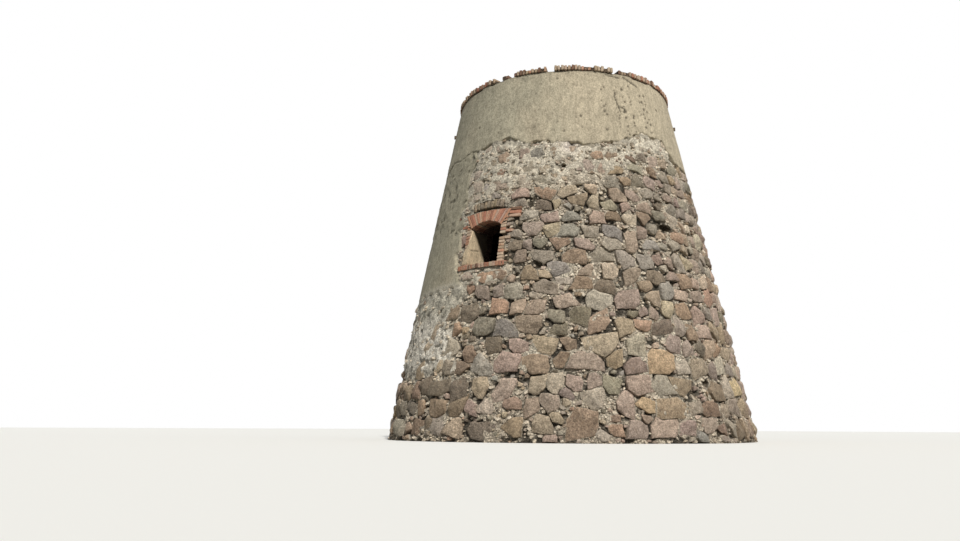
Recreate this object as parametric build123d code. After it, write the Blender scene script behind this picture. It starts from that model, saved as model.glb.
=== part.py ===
from build123d import *
import math
import os

# A round, tapering windmill tower of fieldstone that has lost its cap and sails.
# Millimetres. +Z is up and the origin is the centre of the base, on the ground.
# The front window faces -Y. A bearing is an angle in degrees round the tower, counted
# from the front (-Y) towards +X.

# The stone wall
base_radius = 4430
top_radius = 2690
wall_height = 8540
lower_thickness = 1050
middle_thickness = 850
upper_thickness = 650
first_floor_level = 3000
second_floor_level = 5900
segment_count = 8
facets_per_segment = 16

# The front window, and the same window at the back
window_width = 830
window_sill_level = 3870
window_spring_height = 850
window_rise = 130
window_jamb_width = 130
window_arch_height = 260
window_arch_splay = 225
window_head_camber = 25
sill_height = 130
sill_slope = 30
sill_depth = 300
sill_projection = 40
sill_overhang = 230

# The ring of rough stones that relieves the front window's brick arch
relieving_width = 780
relieving_gap = 45
relieving_rise = 50
relieving_height = 190
relieving_splay = 45

# The doorway at the back
door_width = 1100
door_spring_height = 2000
door_rise = 150
door_jamb_width = 250
door_arch_height = 260
door_arch_splay = 300
door_head_camber = 40
threshold_height = 120

# The broken ring of bricks on edge that crowns the wall
crown_height = 120
crown_brick_length = 250
crown_overhang = 65
crown_gaps = [(-5.75, -1.25), (2.75, 5.75), (23.25, 26.75), (56.75, 59.75), (148, 152), (231, 235)]

# The coats of lime render left on the stone: the upper one's depth is measured down from the wall's head
render_thickness = 25
render_clearance = 0.3
upper_render_depth = 1840
left_render_level = 3350
left_render_start = -60
left_render_end = -11

# The timber floors
joist_width = 160
joist_height = 180
joist_spacing = 620
joist_wall_gap = 210
board_thickness = 35
floor_clearance = 10

# The two broken beam ends that stand out of the wall, at a depth below its head
beam_size = 75
beam_reach = 70
beam_embedment = 180
beam_depth = 760
beam_bearings = [-47, 108]

# Hollows where a stone has fallen out: bearing, level, width, height and depth
hollows = [
    (71.75, 4690, 400, 200, 200),
    (74.75, 1230, 260, 200, 160),
    (-12.25, 6600, 190, 150, 130),
    (30.75, 6030, 130, 130, 120),
]
hollow_corner = 40

DIRECTIONS = ["front", "front_right", "right", "back_right", "back", "back_left", "left", "front_left"]
BACK = 180
segment_angle = 360 / segment_count
facet_angle = segment_angle / facets_per_segment
window_head_level = window_sill_level + window_spring_height + window_rise + window_arch_height
upper_render_level = wall_height - upper_render_depth
beam_level = wall_height - beam_depth


def outer_radius(level):
    """The radius of the wall's outer face at a level."""
    return base_radius - (base_radius - top_radius) * level / wall_height


def lifts():
    """The wall's three lifts: name, bottom level, top level and thickness."""
    return [
        ("lower", 0, first_floor_level, lower_thickness),
        ("middle", first_floor_level, second_floor_level, middle_thickness),
        ("upper", second_floor_level, wall_height, upper_thickness),
    ]


def on_facet(bearing):
    """The nearest upright edge of the wall's facets to a bearing."""
    return round(bearing / facet_angle) * facet_angle


def polygon(points):
    """A flat face with these corners."""
    return Face(Wire.make_polygon(points))


def sector(profile, start, end):
    """A profile of radii and levels, carried round the tower in flat facets from one bearing to another."""
    count = max(1, round((end - start) / facet_angle))
    stations = []
    for step in range(count + 1):
        angle = math.radians(start + (end - start) * step / count)
        stations.append([(r * math.sin(angle), -r * math.cos(angle), level) for r, level in profile])
    faces = [polygon(stations[0]), polygon(stations[-1])]
    for corner, (_, level) in enumerate(profile):
        after = (corner + 1) % len(profile)
        near = [station[corner] for station in stations]
        far = [station[after] for station in stations]
        if profile[after][1] == level:
            faces.append(polygon(near + far[::-1]))
        else:
            faces += [polygon([near[k], near[k + 1], far[k + 1], far[k]]) for k in range(count)]
    return Solid(Shell(faces))


def shell(low, high, thickness, start, end, gap=0.0):
    """A coat or wall of one thickness between two levels; gap is how far its face stands out of the wall's."""
    outer_low = outer_radius(low) + gap
    outer_high = outer_radius(high) + gap
    points = [
        (outer_low - thickness, low),
        (outer_low, low),
        (outer_high, high),
        (outer_high - thickness, high),
    ]
    return sector(points, start, end)


def half_ring(low, high, thickness):
    """The front half of a lift's wall, which trims what is built through it."""
    return shell(low, high, thickness, -90, 90)


def prism(edges):
    """The outline in the XZ plane, run from the tower's axis out through the front of the wall."""
    return extrude(make_face(edges), amount=base_radius + sill_projection, dir=(0, -1, 0))


def upright(points):
    """The points of an elevation, as points in the XZ plane."""
    return [(x, 0, level) for x, level in points]


def arch_line(half_width, spring, rise):
    """A segmental arc from the left springing over the middle to the right one."""
    return ThreePointArc(*upright([(-half_width, spring), (0, spring + rise), (half_width, spring)]))


def arch_band(half_width, spring, rise, height, splay, camber):
    """An arch in elevation: soffit, two sloping ends and a head that is nearly straight."""
    head = spring + rise + height - camber
    soffit = arch_line(half_width, spring, rise)
    top = arch_line(half_width + splay, head, camber)
    ends = [Line(soffit @ 0, top @ 0), Line(soffit @ 1, top @ 1)]
    return [soffit, top, *ends]


def skewback(half_width, spring, rise, height, splay, camber, jamb_width):
    """The level at which the outer edge of a jamb meets the sloping end of the arch."""
    head = spring + rise + height - camber
    return spring + (head - spring) * jamb_width / splay


def jamb_outline(side, half_width, jamb_width, foot, spring, shoulder):
    """One jamb in elevation; side is -1 for the left and 1 for the right."""
    inner = side * half_width
    outer = side * (half_width + jamb_width)
    return Polyline(upright([(inner, foot), (outer, foot), (outer, shoulder), (inner, spring)]), close=True)


def masonry_void(half_width, jamb_width, foot, spring, rise, height, splay, camber, shoulder):
    """All that the brickwork of an opening takes out of the wall, in elevation."""
    head = spring + rise + height - camber
    wide = half_width + jamb_width
    top = arch_line(half_width + splay, head, camber)
    sides = Polyline([top @ 0, *upright([(-wide, shoulder), (-wide, foot), (wide, foot), (wide, shoulder)]), top @ 1])
    return prism([top, sides])


def sill_block(half_length, fall):
    """A block across the wall's face at the sill, whose top falls outwards by a height in each sill's depth."""
    back = outer_radius(window_sill_level) - sill_depth
    front = base_radius
    bottom = window_sill_level - sill_height
    points = [
        (-half_length, -back, bottom),
        (-half_length, -front, bottom),
        (-half_length, -front, window_sill_level - fall * (front - back) / sill_depth),
        (-half_length, -back, window_sill_level),
    ]
    return extrude(make_face(Polyline(points, close=True)), amount=2 * half_length, dir=(1, 0, 0))


def window_pieces():
    """The front window's brick pieces, and what they take out of the wall."""
    half = window_width / 2
    spring = window_sill_level + window_spring_height
    head = (window_rise, window_arch_height, window_arch_splay, window_head_camber)
    shoulder = skewback(half, spring, *head, window_jamb_width)
    foot = window_sill_level - sill_slope
    block = sill_block(half + sill_overhang, sill_slope)
    over_sill = sill_block(half, 0)
    ring = half_ring(first_floor_level, second_floor_level, middle_thickness)
    face = outer_radius(window_sill_level - sill_height) + sill_projection
    tower = extrude(Circle(face), amount=second_floor_level)
    pieces = {"sill": block & tower, "arch": prism(arch_band(half, spring, *head)) & ring}
    for name, side in (("left_jamb", -1), ("right_jamb", 1)):
        outline = jamb_outline(side, half, window_jamb_width, foot, spring, shoulder)
        pieces[name] = (prism(outline) & ring) - block
    above = masonry_void(half, window_jamb_width, window_sill_level, spring, *head, shoulder)
    jambs = [prism(jamb_outline(side, half, window_jamb_width, foot, spring, shoulder)) for side in (-1, 1)]
    return pieces, [above, block, over_sill, *jambs]


def relieving_arch():
    """The prism of rough stones over the brick arch."""
    spring = window_head_level - relieving_rise + relieving_gap + window_head_camber
    band = arch_band(relieving_width / 2, spring, relieving_rise, relieving_height, relieving_splay, relieving_rise)
    return prism(band)


def doorway_pieces():
    """The doorway's pieces as they would stand at the front, and what they take out of the wall."""
    half = door_width / 2
    head = (door_rise, door_arch_height, door_arch_splay, door_head_camber)
    shoulder = skewback(half, door_spring_height, *head, door_jamb_width)
    ring = half_ring(0, first_floor_level, lower_thickness)
    step = Polyline(upright([(-half, 0), (half, 0), (half, threshold_height), (-half, threshold_height)]), close=True)
    pieces = {"threshold": prism(step) & ring, "arch": prism(arch_band(half, door_spring_height, *head)) & ring}
    for name, side in (("left_jamb", -1), ("right_jamb", 1)):
        outline = jamb_outline(side, half, door_jamb_width, 0, door_spring_height, shoulder)
        pieces[name] = prism(outline) & ring
    return pieces, [masonry_void(half, door_jamb_width, 0, door_spring_height, *head, shoulder)]


def wall_plane(bearing, level):
    """A plane on the wall's face: x along the wall, y up and z outwards."""
    angle = math.radians(bearing)
    outward = Vector(math.sin(angle), -math.cos(angle), 0)
    along = Vector(math.cos(angle), math.sin(angle), 0)
    return Plane(origin=outward * outer_radius(level) + Vector(0, 0, level), x_dir=along, z_dir=outward)


def hollow_cutter(bearing, level, width, height, depth):
    """The space of one fallen stone."""
    outline = RectangleRounded(width, height, hollow_corner)
    return wall_plane(bearing, level) * Pos(0, 0, -depth) * extrude(outline, amount=2 * depth)


def beam_end(bearing):
    """A short square timber that sits in the wall and stands out of it."""
    timber = extrude(Rectangle(beam_size, beam_size), amount=beam_embedment + beam_reach)
    return wall_plane(bearing, beam_level) * Pos(0, 0, -beam_embedment) * timber


def floor_pieces(level, lower_wall, upper_wall):
    """The joists that lie on a ledge of the wall, and the boards on the joists."""
    joist_top = level + joist_height
    board_top = joist_top + board_thickness
    ledge = outer_radius(level) - lower_wall
    joist_reach = outer_radius(joist_top) - upper_wall - floor_clearance
    board_reach = outer_radius(board_top) - upper_wall - floor_clearance
    sides = segment_count * facets_per_segment
    inside = Pos(0, 0, level) * extrude(RegularPolygon(joist_reach, sides), amount=joist_height)
    last_row = ledge - joist_wall_gap
    bays = round(2 * last_row / joist_spacing)
    beam = Pos(0, 0, level + joist_height / 2) * Box(2 * joist_reach, joist_width, joist_height)
    rows = [last_row * (2 * row / bays - 1) for row in range(bays + 1)]
    joists = [(Pos(0, row, 0) * beam) & inside for row in rows]
    boards = Pos(0, 0, joist_top) * extrude(RegularPolygon(board_reach, sides), amount=board_thickness)
    return Compound(children=[joist.solid() for joist in joists]), boards


def crown():
    """The bricks on edge that are left on the wall's head, between the gaps."""
    outer = top_radius + crown_overhang
    inner = outer - crown_brick_length
    top = wall_height + crown_height
    points = [(inner, wall_height), (outer, wall_height), (outer, top), (inner, top)]
    starts = [end for _, end in crown_gaps]
    ends = [start for start, _ in crown_gaps[1:]] + [crown_gaps[0][0] + 360]
    return Compound(children=[sector(points, a, b).solid() for a, b in zip(starts, ends)])


def holds(start, end, bearing):
    """Whether a bearing lies between two others."""
    return (bearing - start) % 360 < end - start


def wall_segment(lift, index, voids):
    """One segment of a lift, with what is cut through it taken out."""
    name, low, high, thickness = lift
    start = (index - 0.5) * segment_angle
    end = start + segment_angle
    segment = shell(low, high, thickness, start, end)
    for bearing, level, width, height, depth in hollows:
        if holds(start, end, bearing) and low < level < high:
            segment -= hollow_cutter(bearing, level, width, height, depth)
    for bearing in beam_bearings:
        if holds(start, end, bearing) and low < beam_level < high:
            segment -= beam_end(bearing)
    for void in voids.get((name, index), []):
        segment -= void
    return segment


def render_coats():
    """The coat under the crown, and the patch that runs down its left."""
    gap = render_thickness + render_clearance
    upper = shell(upper_render_level, wall_height, render_thickness, -180, 0, gap)
    upper += shell(upper_render_level, wall_height, render_thickness, 0, 180, gap)
    for bearing in beam_bearings:
        upper -= beam_end(bearing)
    start = on_facet(left_render_start)
    end = on_facet(left_render_end)
    left = shell(left_render_level, upper_render_level, render_thickness, start, end, gap)
    return upper, left


def tower():
    """Every piece of the tower by its name."""
    window, window_voids = window_pieces()
    doorway, doorway_voids = doorway_pieces()
    stones = relieving_arch()
    turn = Rot(0, 0, BACK)
    voids = {
        ("middle", DIRECTIONS.index("front")): [*window_voids, stones],
        ("middle", DIRECTIONS.index("back")): [turn * void for void in window_voids],
        ("lower", DIRECTIONS.index("back")): [turn * void for void in doorway_voids],
    }
    pieces = {}
    for lift in lifts():
        for index, direction in enumerate(DIRECTIONS):
            pieces[f"{lift[0]}_wall_{direction}"] = wall_segment(lift, index, voids)
    for name, piece in window.items():
        pieces[f"front_window_{name}"] = piece
        pieces[f"back_window_{name}"] = turn * piece
    pieces["front_window_relieving_arch"] = stones & half_ring(
        first_floor_level, second_floor_level, middle_thickness
    )
    for name, piece in doorway.items():
        pieces[f"doorway_{name}"] = turn * piece
    pieces["first_floor_joists"], pieces["first_floor_boards"] = floor_pieces(
        first_floor_level, lower_thickness, middle_thickness
    )
    pieces["second_floor_joists"], pieces["second_floor_boards"] = floor_pieces(
        second_floor_level, middle_thickness, upper_thickness
    )
    pieces["upper_render"], pieces["left_render"] = render_coats()
    pieces["brick_crown"] = crown()
    pieces["beam_ends"] = Compound(children=[beam_end(bearing).solid() for bearing in beam_bearings])
    return pieces


def main():
    os.makedirs("parts", exist_ok=True)
    for name, piece in tower().items():
        export_step(piece, f"parts/{name}.step")


main()
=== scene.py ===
import itertools
import math

import bpy
import numpy as np
from mathutils import Matrix, Vector


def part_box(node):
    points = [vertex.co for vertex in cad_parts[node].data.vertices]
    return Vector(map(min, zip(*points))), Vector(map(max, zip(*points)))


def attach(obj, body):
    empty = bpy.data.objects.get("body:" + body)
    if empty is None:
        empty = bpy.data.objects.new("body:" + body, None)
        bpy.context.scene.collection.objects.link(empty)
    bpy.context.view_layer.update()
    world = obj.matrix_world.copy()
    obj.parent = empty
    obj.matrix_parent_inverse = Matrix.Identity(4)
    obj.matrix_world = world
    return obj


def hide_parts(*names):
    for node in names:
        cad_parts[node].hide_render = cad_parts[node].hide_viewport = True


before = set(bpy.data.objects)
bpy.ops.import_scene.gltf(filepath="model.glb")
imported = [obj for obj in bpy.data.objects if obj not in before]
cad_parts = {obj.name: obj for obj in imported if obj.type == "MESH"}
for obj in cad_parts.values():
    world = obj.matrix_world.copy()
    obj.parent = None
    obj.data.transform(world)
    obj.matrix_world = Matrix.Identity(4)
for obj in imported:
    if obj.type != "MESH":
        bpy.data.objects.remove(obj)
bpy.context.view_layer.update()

# The look of a ruined fieldstone windmill tower. Metres, in the frame of the CAD nodes: +Z is up, the origin
# is the centre of the base and the front window faces -Y. A bearing is an angle round the tower, counted from
# the front towards +X. "Out" is a distance outwards from the plain cone of the wall's face.

RNG = np.random.default_rng(11)
DIRECTIONS = ["front", "front_right", "right", "back_right", "back", "back_left", "left", "front_left"]
LIFTS = ["lower", "middle", "upper"]
FULL_TURN = 2 * math.pi
SEGMENT = FULL_TURN / len(DIRECTIONS)

# Sizes read from the frame
GROUND = 0.0
FIRST_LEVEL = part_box("lower_wall_front")[1].z
SECOND_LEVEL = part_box("middle_wall_front")[1].z
HEAD_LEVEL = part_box("upper_wall_front")[1].z
CROWN_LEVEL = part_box("brick_crown")[1].z
CROWN_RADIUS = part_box("brick_crown")[1].x
BASE_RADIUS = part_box("lower_wall_right")[1].x
UPPER_FOOT_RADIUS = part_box("upper_wall_right")[1].x
BATTER = (BASE_RADIUS - UPPER_FOOT_RADIUS) / SECOND_LEVEL
COAT_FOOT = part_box("left_render")[0].z
LEVELS = {
    "lower": (GROUND, FIRST_LEVEL),
    "middle": (FIRST_LEVEL, SECOND_LEVEL),
    "upper": (SECOND_LEVEL, HEAD_LEVEL),
}
THICKNESS = {
    lift: BASE_RADIUS - BATTER * LEVELS[lift][1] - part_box(f"{lift}_wall_right")[0].x / math.cos(SEGMENT / 2)
    for lift in LIFTS
}

# The photograph's camera: its place round the tower and its aim, found from the tower's outline
CAMERA_BEARING = math.radians(30.75)
CAMERA_DISTANCE = 19.87
CAMERA_HEIGHT = 0.277
CAMERA_AXIS_OFFSET = math.radians(6.38)
CAMERA_PITCH = math.radians(11.44)
CAMERA_ROLL = math.radians(0.29)
CAMERA_FOCAL = 780 / 960
SENSOR_WIDTH = 36.0

# The least angle in degrees at which an edge shows as sharp
SHARP_STONE = 30
SHARP_EDGE = 35
SHARP_RENDER = 50
SHARP_MORTAR = 60

# Bricks, and the places where their ring on the wall's head is broken, in degrees of bearing
BRICK_LENGTH = 0.25
BRICK_PITCH = 0.078
COURSE = 0.075
JOINT = 0.010
CROWN_SEAT = CROWN_RADIUS - BRICK_LENGTH
CROWN_GAPS = [(-5.75, -1.25), (2.75, 5.75), (23.25, 26.75), (56.75, 59.75), (148, 152), (231, 235)]

# How far out the mortar lies between stones that nothing covers, and the foot of the stones in it
BED_OUT = -0.040
STONE_FOOT = -0.042

# Flat bricks that are built into the wall beside the front window: left end, right end and level
STRAY_BRICKS = [
    (-0.87, -0.64, 5.055), (-0.80, -0.62, 4.975), (0.64, 0.86, 5.06), (0.61, 0.85, 4.98),
    (0.60, 0.84, 4.90), (0.56, 0.71, 4.55), (0.56, 0.67, 4.39), (-0.70, -0.56, 4.80),
]

# Places where a stone has fallen out: bearing in degrees, level, width, height and depth
HOLLOWS = [
    (71.75, 4.69, 0.40, 0.20, 0.20),
    (74.75, 1.23, 0.26, 0.20, 0.16),
    (-12.25, 6.60, 0.19, 0.15, 0.13),
    (30.75, 6.03, 0.13, 0.13, 0.12),
]


def colour(red, green, blue):
    """A display colour from 0 to 255 as linear values."""
    parts = np.array([red, green, blue]) / 255
    return np.where(parts <= 0.04045, parts / 12.92, ((parts + 0.055) / 1.055) ** 2.4)


def dusted(tint):
    """A stone's colour under a veil of pale dust, and lighter."""
    return 1.20 * (tint + 0.30 * (colour(180, 163, 144) - tint))


STONE = {
    name: dusted(colour(*shown)) for name, shown in {
        "pink": (164, 145, 133), "mauve": (150, 134, 127), "tan": (166, 150, 129),
        "ochre": (187, 163, 127), "orange": (165, 135, 113), "brown": (140, 122, 100),
        "redbrown": (139, 116, 99), "dark": (106, 99, 86), "green": (130, 127, 113),
        "blue": (142, 141, 136), "grey": (152, 145, 134), "pale": (179, 170, 155),
        "cream": (202, 188, 165),
    }.items()
}
# The colours of unlisted stones, and how often each one comes: anywhere, at the lower left and at the right
COMMON = [name for name in STONE if name != "cream"]
ANYWHERE = [20, 11, 14, 1, 3, 11, 5, 7, 6, 5, 18, 9]
LOWER_LEFT = [3, 3, 8, 2, 2, 26, 14, 20, 8, 1, 8, 2]
RIGHT = [30, 12, 24, 3, 5, 8, 4, 3, 3, 2, 14, 14]
CHIP_TINT = colour(226, 213, 193)
BRICKS = {
    "red": colour(174, 124, 103),
    "orange": colour(190, 144, 119),
    "pink": colour(188, 160, 141),
    "dark": colour(130, 101, 85),
    "tan": colour(182, 160, 135),
}
BRICK_MORTAR = colour(176, 160, 138)

# Stones that stand out in the photograph, from the ground up: bearing from the camera in degrees, level,
# width, height and colour
LANDMARKS = [
    (-39.4, 0.31, 0.43, 0.38, "grey"), (-32.5, 0.30, 0.43, 0.38, "tan"),
    (-24.4, 0.26, 0.62, 0.28, "dark"), (-14.7, 0.30, 0.46, 0.38, "brown"),
    (-7.0, 0.39, 0.35, 0.35, "tan"), (3.7, 0.39, 0.65, 0.45, "redbrown"),
    (12.3, 0.26, 0.27, 0.26, "orange"), (18.5, 0.26, 0.40, 0.35, "mauve"),
    (26.0, 0.31, 0.58, 0.38, "pink"), (33.3, 0.30, 0.46, 0.32, "mauve"),
    (42.0, 0.36, 0.45, 0.34, "pink"), (51.6, 0.33, 0.42, 0.32, "grey"),
    (-40.0, 0.70, 0.56, 0.38, "brown"), (-32.5, 0.70, 0.45, 0.34, "brown"),
    (-4.7, 0.78, 0.42, 0.29, "pink"), (6.9, 0.84, 0.46, 0.42, "pale"), (15.4, 0.76, 0.35, 0.32, "pink"),
    (21.3, 0.74, 0.42, 0.32, "ochre"), (30.2, 0.68, 0.77, 0.42, "brown"),
    (-59.6, 1.07, 0.40, 0.38, "brown"), (-52.4, 1.10, 0.40, 0.40, "redbrown"),
    (-32.8, 1.10, 0.44, 0.42, "dark"), (-25.4, 1.08, 0.42, 0.36, "tan"),
    (-17.5, 1.05, 0.56, 0.38, "pink"), (-8.3, 1.12, 0.34, 0.38, "tan"),
    (-3.3, 1.16, 0.34, 0.42, "pale"), (2.0, 1.16, 0.34, 0.32, "pink"), (7.2, 1.23, 0.30, 0.32, "mauve"),
    (12.0, 1.11, 0.38, 0.35, "green"), (20.0, 1.16, 0.56, 0.45, "pink"),
    (26.6, 1.13, 0.45, 0.38, "grey"), (33.8, 1.13, 0.50, 0.32, "brown"),
    (-17.8, 1.58, 0.50, 0.38, "pink"), (-9.0, 1.55, 0.54, 0.45, "brown"),
    (-1.6, 1.64, 0.28, 0.35, "redbrown"), (5.2, 1.61, 0.80, 0.32, "pink"),
    (13.4, 1.60, 0.34, 0.30, "brown"), (28.0, 1.62, 0.60, 0.50, "ochre"),
    (35.6, 1.55, 0.43, 0.35, "pale"), (-30.5, 1.83, 0.36, 0.34, "brown"),
    (-22.3, 2.00, 0.40, 0.34, "dark"), (-14.2, 1.95, 0.40, 0.30, "pink"),
    (-7.0, 1.94, 0.50, 0.35, "tan"), (0.6, 1.98, 0.33, 0.29, "brown"), (10.3, 1.93, 0.65, 0.35, "tan"),
    (20.3, 1.96, 0.43, 0.45, "pale"), (33.8, 2.00, 0.43, 0.42, "mauve"),
    (-37.0, 2.42, 0.30, 0.26, "orange"), (-26.0, 2.38, 0.50, 0.42, "green"),
    (-2.2, 2.28, 0.40, 0.26, "dark"), (23.3, 2.35, 0.42, 0.26, "orange"),
    (4.2, 2.57, 0.46, 0.34, "dark"), (-3.0, 2.57, 0.40, 0.28, "green"),
    (-40.2, 2.83, 0.40, 0.36, "brown"), (-32.5, 2.73, 0.52, 0.38, "dark"),
    (-21.5, 2.79, 0.40, 0.34, "orange"), (-15.0, 2.78, 0.36, 0.34, "tan"),
    (-9.6, 2.74, 0.42, 0.35, "pink"), (0.6, 2.86, 0.50, 0.29, "pink"), (10.3, 2.88, 0.52, 0.35, "pale"),
    (19.5, 2.92, 0.52, 0.38, "mauve"), (28.7, 2.99, 0.36, 0.34, "tan"),
    (-17.5, 3.16, 0.43, 0.32, "grey"), (-6.0, 3.20, 0.50, 0.35, "grey"),
    (5.2, 3.27, 0.40, 0.28, "brown"), (12.3, 3.21, 0.44, 0.30, "dark"),
    (-12.1, 3.53, 0.40, 0.29, "brown"), (-2.0, 3.61, 0.60, 0.26, "blue"),
    (7.4, 3.56, 0.36, 0.28, "tan"), (14.9, 3.54, 0.34, 0.36, "cream"), (31.2, 3.47, 0.40, 0.30, "dark"),
    (-15.7, 3.92, 0.32, 0.32, "dark"), (-7.0, 3.84, 0.45, 0.29, "green"),
    (3.2, 3.88, 0.48, 0.28, "brown"), (12.3, 3.90, 0.44, 0.30, "green"),
    (20.5, 3.82, 0.42, 0.38, "grey"), (28.7, 3.79, 0.42, 0.35, "blue"),
    (6.7, 4.14, 0.44, 0.26, "mauve"), (-2.0, 4.18, 0.42, 0.26, "redbrown"),
    (16.4, 4.16, 0.44, 0.28, "grey"), (23.6, 4.24, 0.32, 0.54, "tan"), (31.7, 4.20, 0.47, 0.22, "blue"),
    (-11.0, 4.55, 0.45, 0.29, "mauve"), (-5.0, 4.46, 0.36, 0.28, "tan"),
    (1.6, 4.46, 0.40, 0.32, "blue"), (8.8, 4.43, 0.42, 0.28, "grey"), (17.0, 4.44, 0.47, 0.28, "blue"),
    (11.8, 4.75, 0.40, 0.28, "pink"), (24.0, 4.76, 0.36, 0.26, "cream"),
    (30.7, 4.85, 0.36, 0.26, "redbrown"), (37.3, 4.95, 0.40, 0.26, "green"),
    (2.4, 4.80, 0.40, 0.22, "blue"), (-8.0, 5.10, 0.38, 0.26, "dark"),
    (-17.2, 5.42, 0.45, 0.29, "pink"), (-7.5, 5.39, 0.44, 0.26, "orange"),
    (5.6, 5.16, 0.42, 0.26, "brown"), (20.5, 5.33, 0.40, 0.28, "tan"), (27.0, 5.36, 0.34, 0.28, "pink"),
    (33.8, 5.46, 0.38, 0.26, "grey"), (4.2, 5.67, 0.36, 0.24, "dark"),
    (17.4, 5.65, 0.38, 0.28, "green"), (24.8, 5.70, 0.26, 0.24, "brown"),
    (36.8, 5.73, 0.34, 0.26, "mauve"), (38.9, 6.05, 0.30, 0.24, "brown"),
    (46.0, 6.00, 0.34, 0.28, "grey"), (-25.4, 6.35, 0.34, 0.24, "brown"),
    (13.4, 6.30, 0.32, 0.26, "orange"), (11.8, 6.55, 0.36, 0.22, "green"),
]

# The levels of the courses that the rest of the wall is laid in
COURSES = [
    0.31, 0.72, 1.13, 1.57, 1.96, 2.36, 2.77, 3.17, 3.54, 3.88, 4.2, 4.5, 4.82, 5.12, 5.42, 5.72, 6.03, 6.34,
]


# Numbers and fields


def smooth(value, low, high):
    """0 below low, 1 above high and a soft step between them."""
    t = np.clip((value - low) / (high - low), 0, 1)
    return t * t * (3 - 2 * t)


def band(value, rise, fall):
    """1 between two soft steps, each given by its start and end, and 0 outside them."""
    return smooth(value, *rise) * (1 - smooth(value, *fall))


def hill(value, middle, width):
    """1 at the middle, and less on either side of it."""
    return np.exp(-(((value - middle) / width) ** 2))


def blended(first, second, share):
    """Two values with a share of the second."""
    return first * (1 - share) + second * share


def hashed(cells, seed):
    """A number from -1 to 1 for each whole-number cell."""
    x, y, z = np.moveaxis(cells, -1, 0)
    bits = x * 73856093 ^ y * 19349663 ^ z * 83492791 ^ (seed * 2654435761)
    bits = (bits ^ (bits >> 13)) * 1274126177
    bits = (bits ^ (bits >> 16)) & 0xFFFFFF
    return bits / 0x7FFFFF - 1


def noise(points, size, seed):
    """Smooth noise from -1 to 1 at points, with features of about a size."""
    scaled = np.asarray(points) / size + 0.37 * seed
    cells = np.floor(scaled).astype(np.int64)
    part = scaled - cells
    ease = part * part * (3 - 2 * part)
    total = 0
    for corner in itertools.product((0, 1), repeat=3):
        weight = np.prod(np.where(corner, ease, 1 - ease), axis=-1)
        total = total + weight * hashed(cells + np.array(corner), seed)
    return total


def layered(points, size, seed, layers=3):
    """Noise with finer noise on it."""
    return sum(noise(points, size / 2**k, seed + 31 * k) / 2**k for k in range(layers))


def outer_radius(level):
    """The radius of the wall's plain face at a level."""
    return BASE_RADIUS - BATTER * np.asarray(level)


def around(bearing, radius, level):
    """Points in space from bearings in radians, distances from the tower's axis and levels."""
    return np.stack(np.broadcast_arrays(radius * np.sin(bearing), -radius * np.cos(bearing), level), axis=-1)


def place(bearing, level, out=0.0):
    """Points in space from bearings in radians, levels and distances out from the wall's plain face."""
    return around(bearing, outer_radius(level) + out, level)


def wrapped(bearing):
    """A difference of bearings, from minus to plus half a turn."""
    return (bearing + math.pi) % FULL_TURN - math.pi


def from_camera(bearing):
    """A bearing in degrees counted from the camera's own, as the photograph shows it."""
    return np.degrees(wrapped(bearing - CAMERA_BEARING))


def render_edge(bearing):
    """The level of the upper render's ragged foot."""
    seen = from_camera(bearing)
    marks = [-180, -120, -80, -40, -30, -15, 20, 27, 37, 50, 57, 80, 120, 180]
    levels = [6.55, 6.75, 6.6, 6.75, 6.88, 6.65, 6.66, 6.76, 6.98, 7.0, 6.5, 6.4, 6.7, 6.55]
    line = place(bearing, 6.7)
    return np.interp(seen, marks, levels) + 0.11 * layered(line, 0.5, 3, 5) + 0.045 * layered(line, 0.12, 4)


def patch_ends(level):
    """Where the left patch of render ends at each side, in degrees from the camera's bearing."""
    line = place(CAMERA_BEARING - 1.0, level)
    left = -90 + 1.6 * layered(line, 0.4, 91)
    right = np.interp(level, [3.35, 3.5, 4.3, 4.9, 5.4, 6.7], [-37.5, -40.5, -41, -43.5, -44, -42])
    return left, right + 2.6 * layered(line, 0.32, 92, 5)


def patch_levels(bearing):
    """The levels of the left patch's foot and top."""
    foot = COAT_FOOT + 0.035 * layered(place(bearing, 3.35), 0.35, 93, 4)
    return foot, render_edge(bearing) + 0.03


def coated(bearing, level):
    """1 where either coat of render lies, 0 elsewhere."""
    left, right = patch_ends(level)
    foot, top = patch_levels(bearing)
    seen = from_camera(bearing)
    patch = (seen > left + 0.4) & (seen < right - 0.4) & (level > foot + 0.02) & (level < top)
    return np.where(patch | (level > render_edge(bearing) + 0.03), 1.0, 0.0)


def washed(bearing, level, points):
    """How far mortar covers the stones, from 0 to 1."""
    seen = from_camera(bearing)
    marks = [-180, -120, -75, -40, -34, -28, -18, 18, 30, 40, 60, 100, 150, 180]
    starts = [5.3, 4.4, 4.2, 4.6, 5.1, 5.35, 5.45, 5.5, 6.1, 6.4, 6.5, 5.9, 5.5, 5.3]
    start = np.interp(seen, marks, starts) + 0.3 * layered(points, 0.8, 5)
    under_sill = band(seen, (-46, -42), (-24, -17)) * band(level, (3.25, 3.4), (3.7, 3.85))
    return np.maximum(smooth(level, start - 0.25, start + 0.45), 0.8 * under_sill)


def limed(bearing, level, points):
    """How far the whitish mortar at the lower left shows, from 0 to 1."""
    seen = from_camera(bearing)
    end = np.interp(level, [1.3, 2.0, 2.6, 3.3], [-34, -37, -42, -36])
    across = smooth(seen, -86, -72) * (1 - smooth(seen - end, -2.5, 2.5))
    up = smooth(level + 0.22 * layered(points, 0.4, 9), 1.30, 1.65) * (1 - smooth(level, 3.32, 3.42))
    return np.clip(across * up * (1.1 + 0.45 * layered(points, 0.35, 8)), 0, 1)


def covered(bearing, level, points):
    """How far wash or whitish mortar buries the stones, from 0 to 1."""
    return np.maximum(washed(bearing, level, points), limed(bearing, level, points))


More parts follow.
